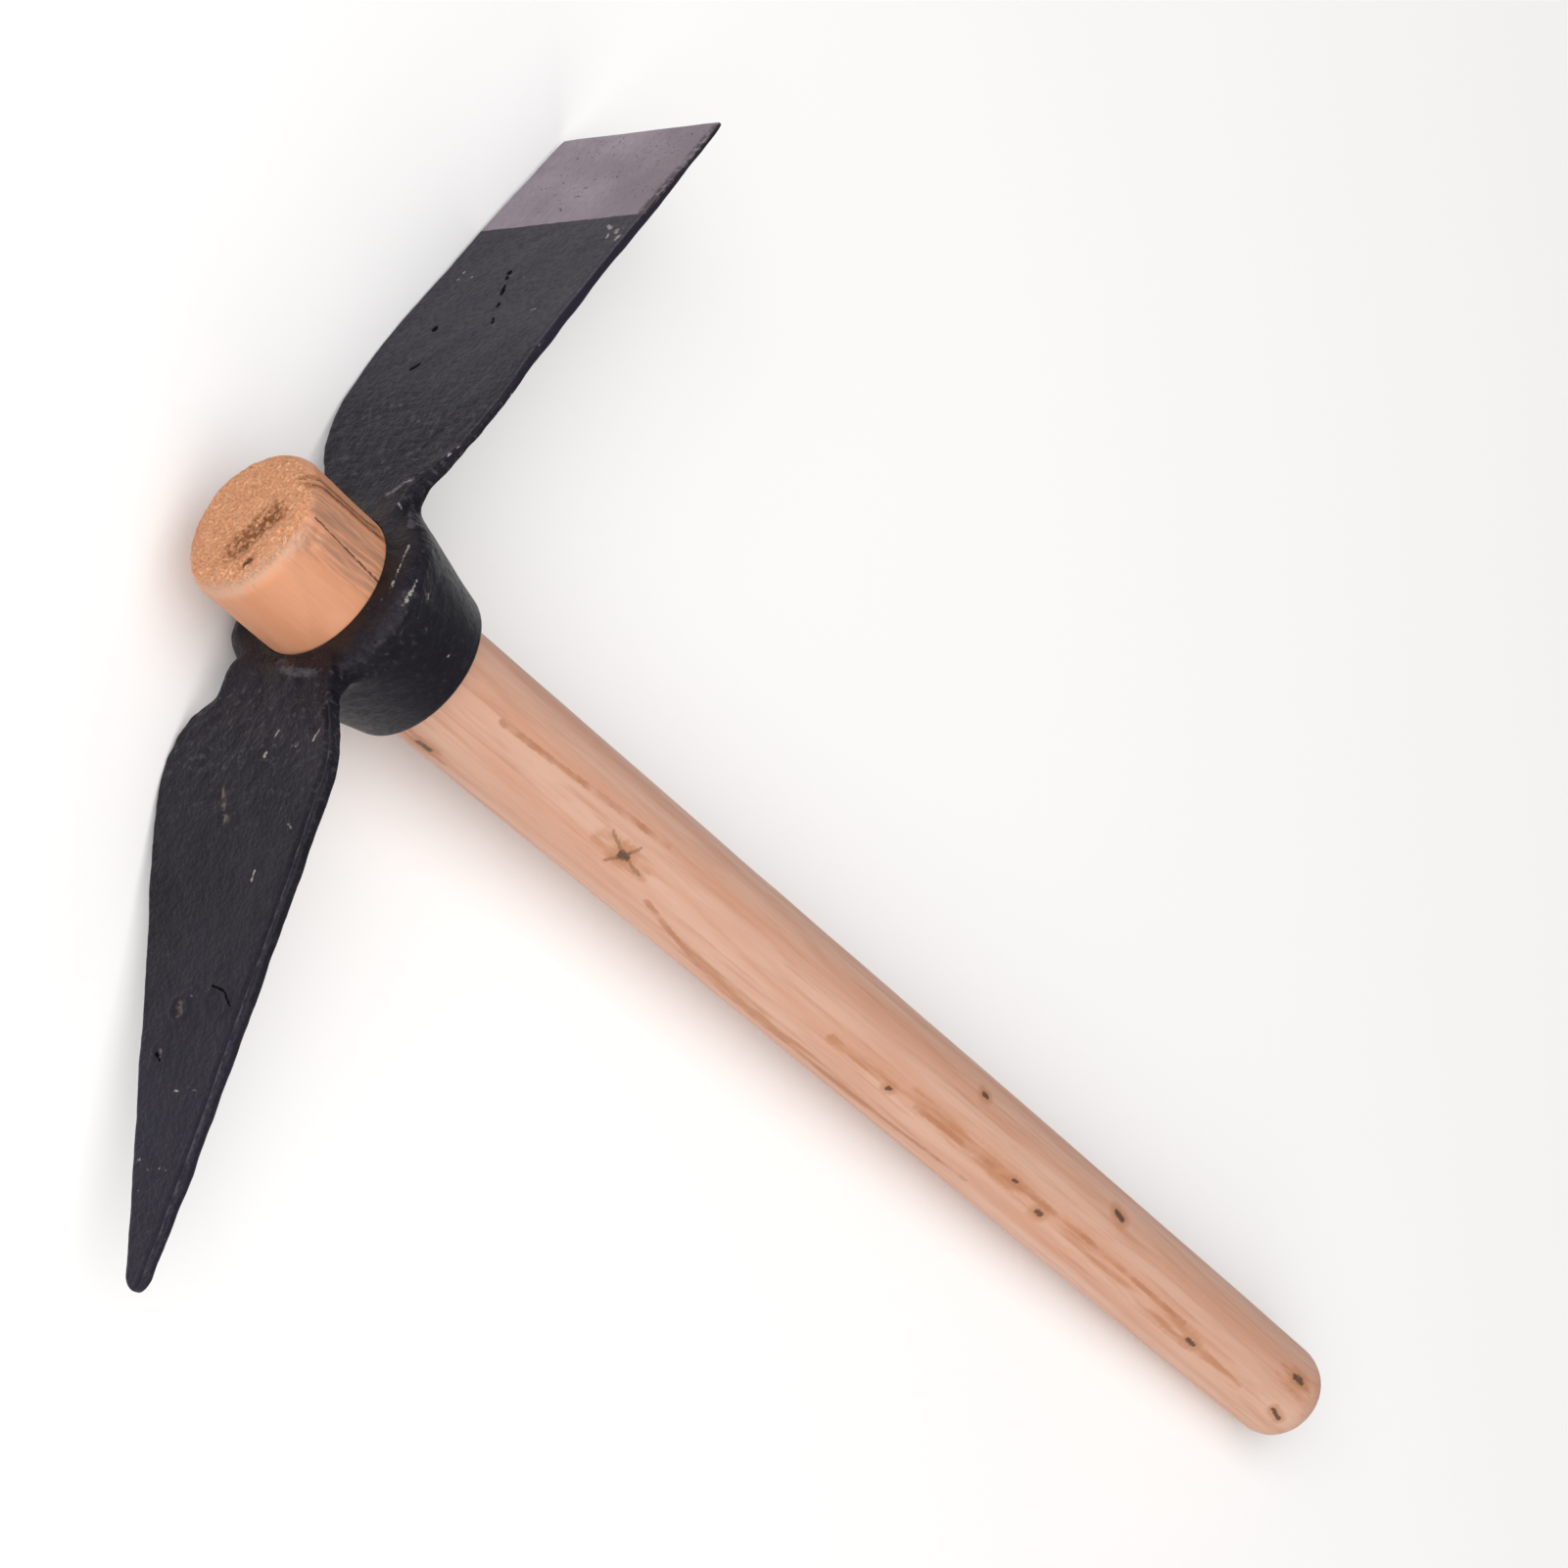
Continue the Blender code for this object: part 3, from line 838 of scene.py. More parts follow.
def streaks(tree, place, sizes, low=0.3, high=0.7):
    # streaks of about the given sizes in metres along each axis
    stretch = tuple(1.0 / size for size in sizes)
    given = {"Vector": place, "Stretch": stretch, "Low": low, "High": high}
    return useGroup(tree, "streaks", given)


def centredNoise(tree, place, scale, detail):
    # a vector noise less 0.5 on each axis, so that it goes from -0.5 to 0.5
    noise = addNode(tree, "TexNoise", {"Vector": place, "Scale": scale, "Detail": detail}, 1)
    return vectorMaths(tree, "SUBTRACT", noise, (0.5, 0.5, 0.5))


def marks(tree, place, jitter, rows, widen=1.0):
    # one mask from many marks, the largest of them; a row is (from, to, width, wobble) in
    # millimetres
    total = None
    for start, end, width, wobble in rows:
        mask = useGroup(tree, "mark", {
            "Vector": place, "Jitter": jitter,
            "From": tuple(mm * v for v in start), "To": tuple(mm * v for v in end),
            "Width": mm * width * widen, "Wobble": mm * wobble,
        })
        total = mask if total is None else maths(tree, "MAXIMUM", total, mask)
    return total


def flattened(rows):
    # the same marks with no height, for a place whose height is left out as well
    return [((*start[:2], 0.0), (*end[:2], 0.0), *rest) for start, end, *rest in rows]


def unrolled(rows):
    # the same marks on the handle's skin rolled out flat: x is radius times angle
    radius = woodLook["unrollRadius"] / mm
    return [
        [(radius * math.atan2(y, x), 0.0, z) for x, y, z in (start, end)] + rest
        for start, end, *rest in rows
    ]


def newMaterial(name, tool):
    # gives the material, its tree and shader, and the place on the piece in the tool's axes:
    # Object coordinates turned and moved by the inverse of the tool's matrix
    material = bpy.data.materials.new(name)
    material.use_nodes = True
    tree = material.node_tree
    inverse = tool.inverted()
    place = addNode(tree, "Mapping", {
        "Vector": addNode(tree, "TexCoord", output=3),
        "Location": inverse.translation, "Rotation": inverse.to_euler(),
    })
    return material, tree, tree.nodes["Principled BSDF"], place


def bumpFrom(tree, shader, heights, distance):
    # heights are (value, weight) pairs; the relief is the sum of value times weight
    total = None
    for value, weight in heights:
        part = product(tree, value, weight)
        total = part if total is None else maths(tree, "ADD", total, part)
    bump = addNode(tree, "Bump", {"Height": total, "Distance": distance, "Strength": 1.0})
    tree.links.new(bump, shader.inputs["Normal"])


paintLook = {
    "dark": colour(0.0045, 0.0042, 0.0068),
    "light": colour(0.0150, 0.0136, 0.0205),
    "plate": colour(0.0185, 0.0162, 0.0290),
    "brown": colour(0.022, 0.013, 0.009),
    # lighter paint, for rubbed patches and for the painted highlights on the lumps and the ridge
    "bright": colour(0.060, 0.055, 0.066),
    "gouge": colour(0.0030, 0.0030, 0.0040),
    "chipped": colour(0.30, 0.27, 0.26),
    "rust": colour(0.150, 0.120, 0.105),
    "steelDark": colour(0.21, 0.180, 0.188),
    "steelLight": colour(0.37, 0.325, 0.340),
    "stain": colour(0.070, 0.055, 0.055),
    "gloss": 0.19,
    "sheenTint": colour(0.94, 0.87, 1.0),
    # mottles: size in metres, low, high and detail
    "cloud": (0.020, 0.30, 0.70, 3.0),
    "grain": (0.0015, 0.35, 0.75, 3.0),
    "rubbing": (0.0022, 0.55, 0.70, 3.0),
    "brownPatches": (0.0070, 0.35, 0.62),
    "lumpHighlightPatches": (0.0020, 0.30, 0.60, 3.0),
    "ridgeHighlightPatches": (0.0030, 0.36, 0.62),
    "chipSpots": (0.0022, 0.735, 0.775, 1.0),
    "chipPatches": (0.0300, 0.52, 0.62, 1.0),
    "chipTexture": (0.0009, 0.34, 0.48),
    "pockTexture": (0.0012, 0.35, 0.60),
    "raggedLine": (0.0030, 0.0, 1.0),
    "pits": (0.0012, 0.62, 0.72, 2.0),
    "pitPatches": (0.0140, 0.42, 0.60),
    "burrPatches": (0.0022, 0.36, 0.56, 3.0),
    "humps": (0.0045, 0.2, 0.8),
    # streaks: sizes in metres along each axis, then low and high
    "steelLines": ((0.0007, 0.030, 0.0007), 0.25, 0.75),
    "wrinkles": ((0.0060, 0.0016, 0.0060), 0.2, 0.8),
    "brushing": ((0.0018, 0.0200, 0.0018), 0.2, 0.8),
    # where a mask is 0 and where it is 1: by the way the face looks, then in metres by
    # radius, height, reach along the blades and distance across them
    "topFacing": (0.25, 0.45),
    "neckRadii": ((0.080, 0.050), (0.026, 0.034)),
    "collarRadii": (0.040, 0.033),
    "collarHeights": (-0.004, -0.011),
    "brownRadii": (0.0330, 0.0220),
    "brownHeights": (-0.0070, -0.0010),
    "plateReach": (0.045, 0.095),
    "pointReach": (-0.080, -0.150),
    "wrinkleReach": (0.0, 0.02),
    "groundReach": (0.1322, 0.1325),  # the ground steel on the top face
    "edgeReach": (0.1685, 0.1697),  # the same on the underside
    "shadedAcross": (-0.010, 0.028),
    "burrAcross": (0.0268, 0.0292),
    # shares of a colour or mask
    "toneShares": (0.55, 0.45),  # of the cloud and of the grain
    "steelShares": (0.55, 0.45),  # of the lines and of the cloud
    "plateShare": 0.70,
    "pointShare": 0.55,
    # share of the dark paint laid on the collar wall as painted shade
    "collarShadeShare": 0.70,
    "rubbedShares": (0.60, 0.20),  # at the necks, and what is left of it elsewhere
    "ridgeHighlightShare": 0.80,
    "gougeShare": 0.85,
    "rustShare": 0.80,
    "shadedShare": 0.55,
    "raggedDepth": 0.0007,
    "paintRoughness": (0.38, 0.16, 0.30),  # everywhere, by the grain, and where worn
    "steelRoughness": (0.34, 0.12),  # everywhere, and by the lines
    "steelMetal": 0.92,
    "gougeMetal": 0.85,  # the gouges are down to dark, rough metal
    "smoothing": (1.22, 0.75),  # relief taken off the plate and the collar
    "relief": (0.42, 0.60, 0.60, 0.06, 0.03),  # grain, humps, wrinkles, brushing and lines
    "reliefDepth": 0.00045,
    # the painted highlight along the ridge by the pointed blade's right edge
    "ridgeHighlight": (0.0011, 0.70, 1.4),  # inset in metres, then width and wobble in millimetres
    "ridgeReach": (0.052, 0.186),
    "ridgeStops": 8,
    # marks in millimetres in the tool's axes: from, to, width and wobble
    "scratches": (
        ((25.2, 11.9, -1.8), (25.7, 4.0, -1.5), 0.45, 1.2),
        ((25.7, 4.0, -1.5), (25.9, -3.2, -1.6), 0.55, 1.6),
        ((30.6, 2.8, -4.6), (30.2, -5.4, -3.9), 0.60, 2.2),
        ((14.5, 25.1, -1.4), (18.1, 22.0, -2.0), 0.40, 1.0),
        ((14.5, 32.9, -2.3), (8.0, 28.6, -1.9), 0.35, 0.8),
    ),
    # painted highlights on the lumps of the laps
    "lumpHighlights": (
        ((-2.0, -24.5, 0.0), (5.0, -28.0, 0.0), 2.2, 3.0),
        ((5.0, -28.0, 0.0), (12.0, -28.0, 0.0), 1.8, 3.0),
        ((14.5, 33.0, 0.0), (8.0, 28.5, 0.0), 1.4, 2.0),
        ((17.0, 27.0, 0.0), (21.0, 19.0, 0.0), 1.6, 2.4),
    ),
    "chips": (
        ((24.0, 40.5, -4.3), (24.3, 40.9, -4.3), 0.8, 1.2),
        ((25.7, 43.2, -4.6), (25.9, 43.6, -4.6), 0.6, 1.0),
        ((28.4, 121.6, 0.0), (28.5, 122.6, 0.0), 1.0, 1.2),
        ((20.7, 127.9, 0.0), (22.4, 127.0, 0.0), 0.9, 1.8),
        ((25.4, 125.6, 0.0), (26.2, 124.6, 0.0), 0.8, 1.8),
        ((23.6, 124.0, 0.0), (24.0, 122.8, 0.0), 0.6, 1.6),
        ((22.8, -45.2, 0.1), (22.4, -48.6, -0.1), 0.55, 1.8),
        ((7.9, -44.6, 0.2), (7.5, -46.6, 0.1), 0.45, 1.2),
        ((6.2, -51.2, -0.2), (6.0, -52.4, -0.4), 0.5, 1.5),
        ((16.5, -49.2, -0.3), (16.6, -49.6, -0.3), 0.6, 0.9),
        ((13.0, -83.2, -6.7), (12.4, -85.4, -7.2), 0.5, 1.4),
        ((25.8, -0.2, -25.4), (25.8, 0.2, -25.6), 0.5, 0.8),
    ),
    "pocks": (
        ((-6.1, -60.8, 0.0), (-3.9, -66.6, 0.0), 0.9, 1.8),
        ((-2.8, -68.6, 0.0), (-2.6, -69.4, 0.0), 1.6, 1.2),
        ((-5.2, -117.2, 0.0), (-4.8, -119.0, 0.0), 1.8, 1.6),
        ((-9.2, -128.6, 0.0), (-9.0, -130.2, 0.0), 0.7, 1.0),
    ),
    "gouges": (
        ((-3.9, 111.8, 0.0), (-2.3, 108.2, 0.0), 0.80, 2.6),
        ((-0.9, 105.2, 0.0), (0.6, 101.8, 0.0), 0.90, 2.6),
        ((2.6, 98.0, 0.0), (3.0, 97.2, 0.0), 0.80, 2.0),
        ((5.6, 92.0, 0.0), (6.6, 89.8, 0.0), 0.85, 2.6),
        ((-15.5, 90.1, 0.0), (-14.6, 89.2, 0.0), 1.3, 1.0),
        ((-12.4, 74.1, 0.0), (-10.6, 75.4, 0.0), 1.1, 1.2),
        ((6.2, -112.4, 0.0), (11.0, -114.0, 0.0), 0.45, 1.0),
        ((11.0, -114.0, 0.0), (14.2, -117.6, 0.0), 0.45, 1.0),
        ((-10.4, -129.6, 0.0), (-8.4, -131.4, 0.0), 0.60, 0.8),
    ),
}


def ridgeHighlightRows():
    # the painted highlight along the ridge beside the pointed blade's right edge, as marks: x is the half width
    # less an inset, y the reach
    inset, width, wobble = paintLook["ridgeHighlight"]
    reach = np.linspace(*paintLook["ridgeReach"], paintLook["ridgeStops"])
    x = smoothThrough(pointShape["halfWidths"], reach) - inset
    line = (np.stack([x, -reach, 0.0 * reach], axis=1) / mm).tolist()
    return [(start, end, width, wobble) for start, end in zip(line, line[1:])]


def blackPaint(tool):
    # paint from layers of colour, each base + mask * (colour - base); the masks come from
    # reach, radius and height in the tool's axes, from noises and from listed marks
    look = paintLook
    material, tree, shader, place = newMaterial("blackPaint", tool)
    across, reach, height = addNode(tree, "SeparateXYZ", {0: place}).node.outputs
    flat = vectorMaths(tree, "MULTIPLY", place, (1.0, 1.0, 0.0))
    radius = vectorMaths(tree, "LENGTH", flat, output=1)
    facing = addNode(tree, "NewGeometry", output=1)
    stubWay = tuple(tool.to_3x3() @ Vector((0.0, 0.0, 1.0)))
    upward = vectorMaths(tree, "DOT_PRODUCT", facing, stubWay, 1)
    upward = ramp(tree, upward, *look["topFacing"])
    jitter = centredNoise(tree, place, marking["jitterScale"], marking["jitterDetail"])
    flatJitter = vectorMaths(tree, "MULTIPLY", jitter, (1.0, 1.0, 0.0))

    def topMarks(rows):
        # marks on the faces that look up, read with no height
        return product(tree, marks(tree, flat, flatJitter, rows), upward)

    # paint: cloudy, with fine grain, brownish where it meets the handle, and darker on the collar wall under the
    # blades as painted shade
    cloud = mottle(tree, place, *look["cloud"])
    grain = mottle(tree, place, *look["grain"])
    outer, inner = look["neckRadii"]
    nearNeck = product(tree, ramp(tree, radius, *outer), ramp(tree, radius, *inner))
    cloudShare, grainShare = look["toneShares"]
    tone = weighted(tree, cloud, cloudShare, grain, grainShare)
    base = mixColours(tree, tone, look["dark"], look["light"])
    onPlate = product(tree, ramp(tree, reach, *look["plateReach"]), look["plateShare"])
    onPoint = product(tree, ramp(tree, reach, *look["pointReach"]), look["pointShare"])
    base = layer(tree, base, look["plate"], maths(tree, "ADD", onPlate, onPoint))
    # painted shade: the collar wall under the blades takes the dark paint over most of its tone
    onCollar = ramp(tree, height, *look["collarHeights"])
    onCollar = product(tree, onCollar, ramp(tree, radius, *look["collarRadii"]))
    base = layer(tree, base, look["dark"], onCollar, look["collarShadeShare"])
    rubbedShare, elsewhere = look["rubbedShares"]
    rubbed = product(tree, mottle(tree, place, *look["rubbing"]), rubbedShare)
    rubbed = product(tree, rubbed, maths(tree, "ADD", nearNeck, elsewhere, True))
    base = layer(tree, base, look["bright"], rubbed)
    brown = product(
        tree, ramp(tree, radius, *look["brownRadii"]), ramp(tree, height, *look["brownHeights"]),
        mottle(tree, place, *look["brownPatches"]),
    )
    base = layer(tree, base, look["brown"], brown)

    # wear: listed scratches and chips, and small ones scattered by a threshold; and painted highlights in lighter
    # paint on the lumps and along the ridge
    # painted highlights: lighter paint on the lumps of the laps, where they face up
    sheen = topMarks(flattened(look["lumpHighlights"]))
    sheen = product(tree, sheen, mottle(tree, place, *look["lumpHighlightPatches"]))
    base = layer(tree, base, look["bright"], sheen)
    # painted highlight: lighter paint along the ridge by the pointed blade's right edge
    ridgeHighlight = product(tree, topMarks(ridgeHighlightRows()), mottle(tree, place, *look["ridgeHighlightPatches"]))
    base = layer(tree, base, look["bright"], ridgeHighlight, look["ridgeHighlightShare"])
    gouged = topMarks(flattened(look["gouges"]))
    base = layer(tree, base, look["gouge"], gouged, look["gougeShare"])
    scattered = mottle(tree, place, *look["chipSpots"])
    scattered = product(tree, scattered, mottle(tree, place, *look["chipPatches"]))
    scraped = maths(tree, "MAXIMUM", marks(tree, place, jitter, look["scratches"]), scattered)
    scraped = maths(tree, "MAXIMUM", scraped, topMarks(flattened(look["chips"])))
    scraped = product(tree, scraped, mottle(tree, place, *look["chipTexture"]))
    base = layer(tree, base, look["chipped"], scraped)
    pocks = topMarks(flattened(look["pocks"]))
    pocks = product(tree, pocks, mottle(tree, place, *look["pockTexture"]))
    base = layer(tree, base, look["rust"], pocks, look["rustShare"])

    # ground steel: the top face past the grinding line, and a thin strip underneath
    ragged = product(tree, mottle(tree, place, *look["raggedLine"]), look["raggedDepth"])
    line = maths(tree, "ADD", reach, ragged)
    onTop = product(tree, ramp(tree, line, *look["groundReach"]), upward)
    ground = maths(tree, "MAXIMUM", onTop, ramp(tree, line, *look["edgeReach"]))
    lines = streaks(tree, place, *look["steelLines"])
    lineShare, cloudShare = look["steelShares"]
    sheen = weighted(tree, lines, lineShare, cloud, cloudShare)
    shaded = product(tree, ramp(tree, across, *look["shadedAcross"]), look["shadedShare"])
    sheen = maths(tree, "SUBTRACT", sheen, shaded, True)
    steel = mixColours(tree, sheen, look["steelDark"], look["steelLight"])
    pits = mottle(tree, place, *look["pits"])
    pits = product(tree, pits, mottle(tree, place, *look["pitPatches"]))
    burr = ramp(tree, across, *look["burrAcross"])
    burr = product(tree, burr, mottle(tree, place, *look["burrPatches"]))
    steel = layer(tree, steel, look["stain"], maths(tree, "MAXIMUM", pits, burr))
    tree.links.new(layer(tree, base, steel, ground), shader.inputs["Base Color"])

    shader.inputs["Specular IOR Level"].default_value = look["gloss"]
    shader.inputs["Specular Tint"].default_value = look["sheenTint"]
    even, byGrain, byWear = look["paintRoughness"]
    worn = product(tree, maths(tree, "MAXIMUM", scraped, pocks), byWear)
    painted = maths(tree, "ADD", product(tree, grain, byGrain), even)
    painted = maths(tree, "MAXIMUM", maths(tree, "ADD", painted, worn), gouged)
    even, byLines = look["steelRoughness"]
    bare = maths(tree, "ADD", product(tree, lines, byLines), even)
    rough = addNode(tree, "Mix", {0: ground, 2: painted, 3: bare}, data_type="FLOAT")
    tree.links.new(rough, shader.inputs["Roughness"])
    metal = weighted(tree, ground, look["steelMetal"], gouged, look["gougeMetal"])
    tree.links.new(metal, shader.inputs["Metallic"])

    # relief: thick paint over the hammered skin, wrinkled across the hoe's neck
    wrinkles = product(
        tree, streaks(tree, place, *look["wrinkles"]), nearNeck,
        ramp(tree, reach, *look["wrinkleReach"]),
    )
    offPlate, offCollar = look["smoothing"]
    left = maths(tree, "SUBTRACT", 1.0, ground)
    left = maths(tree, "SUBTRACT", left, product(tree, onPlate, offPlate), True)
    left = maths(tree, "SUBTRACT", left, product(tree, onCollar, offCollar), True)
    humps = product(tree, mottle(tree, place, *look["humps"]), left)
    brushed = product(tree, streaks(tree, place, *look["brushing"]), left)
    reliefs = (product(tree, grain, left), humps, wrinkles, brushed, lines)
    bumpFrom(tree, shader, zip(reliefs, look["relief"]), look["reliefDepth"])
    return material


woodLook = {
    "pale": colour(0.640, 0.400, 0.300),
    "warm": colour(0.580, 0.300, 0.200),
    "stub": colour(0.700, 0.285, 0.130),
    # darker grey-brown, the painted shade on the stub's +X flats
    "flatShade": colour(0.300, 0.160, 0.105),
    "ragged": colour(0.580, 0.335, 0.225),
    "line": colour(0.410, 0.172, 0.086),
    "knot": colour(0.115, 0.055, 0.030),
    "halo": colour(0.450, 0.195, 0.092),
    "ray": colour(0.200, 0.095, 0.050),
    "endGrain": colour(0.680, 0.270, 0.120),
    "endPale": colour(0.860, 0.450, 0.250),
    "endDark": colour(0.260, 0.090, 0.024),
    "crack": colour(0.130, 0.058, 0.034),
    "rings": 0.0030,  # spacing of the growth rings
    "ringBand": (0.35, 1.0),  # part of each ring's wave that is dark
    "wander": ((30.0, 30.0, 7.0), 2.0, 0.016),  # the pith's: scales, detail and metres
    "unrollRadius": 0.0160,
    # streaks: sizes in metres along each axis, then low and high
    "fibres": ((0.0008, 0.0008, 0.018), 0.25, 0.75),
    "strands": ((0.0018, 0.0018, 0.040), 0.55, 0.75),
    "broad": ((0.0060, 0.0060, 0.090), 0.30, 0.70),
    "stainStreaks": ((0.0022, 0.0022, 0.022), 0.34, 0.66),
    "stripStreaks": ((0.0013, 0.0013, 0.014), 0.32, 0.66),
    # mottles: size in metres, low, high and detail
    "linePatches": (0.0100, 0.22, 0.58),
    "knotTexture": (0.0014, 0.12, 0.42, 3.0),
    "tornEnd": (0.0009, 0.30, 0.70, 4.0),
    "endSpecks": (0.0012, 0.56, 0.70, 3.0),
    "pithTexture": (0.0014, 0.30, 0.58, 3.0),
    "rimTexture": (0.0014, 0.32, 0.56, 4.0),
    "crackTexture": (0.0036, 0.22, 0.52),
    "stubHeights": (-0.034, 0.004),  # the stub's own colour comes in between these
    "endDepths": (0.0035, 0.0012),  # the end grain's does, this far below the end
    # shares of a colour
    "stubShare": 0.75,
    "strandShare": 0.42,
    "ringShares": (0.22, 0.03),  # by the fibres, and everywhere
    "fibreShare": 0.22,
    "stainShare": 0.90,
    "longLineShare": 0.85,
    "haloShare": 0.62,
    "rayShare": 0.60,
    "stripShare": 0.78,
    "speckShare": 0.38,
    "bandShare": 0.60,
    "haloWidening": 3.0,  # a knot's halo is this much wider than the knot
    "pithMark": (-4.0, 5.0, 6.0, 5.0),  # start and end each side, width and wobble, in mm
    "roughness": (0.50, 0.12, 0.25),  # everywhere, by the fibres, and on the sawn end
    "relief": (-0.12, -0.10, 1.6),  # fibres, rings and torn end grain
    "reliefDepth": 0.00035,
    # in millimetres in the tool's axes: from, to, width and wobble
    "knots": (
        ((0.1, -17.4, -50.0), (0.5, -17.3, -54.0), 1.5, 1.4),
        ((12.8, -11.0, -118.6), (13.0, -10.8, -120.4), 1.7, 2.4),
        ((10.3, -11.9, -243.0), (10.3, -11.9, -244.0), 1.1, 1.6),
        ((15.3, 3.5, -273.6), (15.3, 3.5, -275.2), 1.2, 0.6),
        ((11.9, -9.5, -299.8), (11.9, -9.5, -301.0), 0.9, 1.4),
        ((10.0, -11.4, -314.6), (10.0, -11.4, -316.2), 1.5, 0.9),
        ((14.9, 2.4, -340.0), (14.9, 1.7, -343.0), 1.5, 1.0),
        ((9.1, -11.4, -391.0), (9.1, -11.4, -394.4), 1.3, 2.0),
        ((14.2, -0.6, -434.0), (14.2, -0.6, -437.0), 1.6, 2.4),
        ((9.3, -10.9, -435.0), (8.3, -11.7, -439.2), 1.1, 1.6),
        ((-13.0, 9.0, -160.0), (-13.0, 9.0, -161.6), 1.0, 1.2),
        ((-14.0, -6.0, -288.0), (-14.0, -6.0, -289.4), 0.9, 1.0),
        ((2.0, 15.0, -372.0), (2.0, 15.0, -373.0), 1.1, 1.4),
    ),
    "stains": (
        ((12.4, -11.4, -110.0), (13.2, -10.2, -128.0), 4.4, 3.0),
        ((4.0, -15.8, -150.0), (0.4, -15.9, -250.0), 3.6, 1.2),
        ((10.6, -11.4, -216.0), (11.6, -10.2, -256.0), 2.4, 1.4),
        ((11.8, -10.0, -252.0), (11.6, -10.4, -335.0), 4.6, 1.4),
        ((10.6, -10.6, -335.0), (9.2, -11.4, -392.0), 4.6, 1.4),
        ((9.2, -11.4, -392.0), (8.2, -12.0, -418.0), 2.6, 1.4),
        ((13.9, -2.0, -428.0), (13.6, -2.6, -440.0), 4.0, 2.0),
        ((0.6, -17.4, -44.0), (0.6, -17.2, -60.0), 2.6, 1.6),
    ),
    "longLines": (
        ((8.2, -14.5, -137.0), (0.0, -16.4, -181.0), 1.20, 1.0),
        ((0.0, -16.4, -181.0), (0.5, -15.7, -236.0), 1.40, 1.0),
        ((0.5, -15.7, -236.0), (3.5, -14.9, -290.0), 1.10, 1.0),
        ((11.0, -11.4, -255.0), (12.2, -9.0, -330.0), 1.30, 1.0),
        ((12.2, -9.0, -330.0), (11.4, -9.2, -385.0), 1.20, 1.0),
        ((16.0, -5.6, -60.0), (16.6, -2.0, -130.0), 1.20, 1.0),
        ((-12.0, 11.0, -80.0), (-10.0, 12.4, -200.0), 0.55, 2.0),
        ((-14.6, -4.0, -190.0), (-13.6, -5.6, -330.0), 0.55, 2.0),
    ),
    "rim": (
        ((-10.5, -18.6, 27.8), (5.5, -20.0, 28.5), 3.6, 2.6),
        ((5.5, -20.0, 28.5), (12.4, -15.8, 29.6), 3.0, 2.6),
        ((12.4, -15.8, 29.6), (20.4, -5.0, 27.6), 3.0, 3.0),
    ),
    # painted shade down the stub's flats on the +X side
    "shadedFlats": (
        ((20.4, 6.6, 31.5), (20.8, 4.2, -2.0), 5.4, 0.8),
        ((20.6, -4.0, 31.5), (21.2, -2.0, -2.0), 3.8, 1.6),
    ),
    "brownBands": (
        ((18.4, 11.2, 30.0), (17.4, 12.4, 0.0), 1.3, 1.6),
        ((16.6, 13.4, 30.0), (15.6, 14.4, 2.0), 1.2, 1.6),
    ),
    "cracks": (
        ((21.5, 1.9, 27.0), (21.3, 0.9, 14.0), 0.34, 0.6),
        ((21.3, 0.9, 14.0), (21.4, -0.3, -0.4), 0.40, 0.8),
        ((18.4, 11.2, 29.0), (17.6, 12.2, 1.0), 0.38, 1.0),
        ((16.9, 13.2, 28.0), (16.0, 14.2, 4.0), 0.32, 1.0),
    ),
    "slit": (((7.2, -14.1, 30.6), (8.8, -12.3, 30.8), 1.1, 1.0),),
    "rays": (  # thin cracks out of the star-shaped knot
        ((12.9, -10.9, -119.5), (15.2, -7.4, -122.0), 0.8, 1.6),
        ((12.9, -10.9, -119.5), (9.8, -13.8, -116.8), 0.8, 1.6),
        ((12.9, -10.9, -119.5), (14.8, -8.4, -111.5), 0.8, 1.6),
        ((12.9, -10.9, -119.5), (12.0, -12.0, -128.0), 0.7, 1.6),
    ),
}


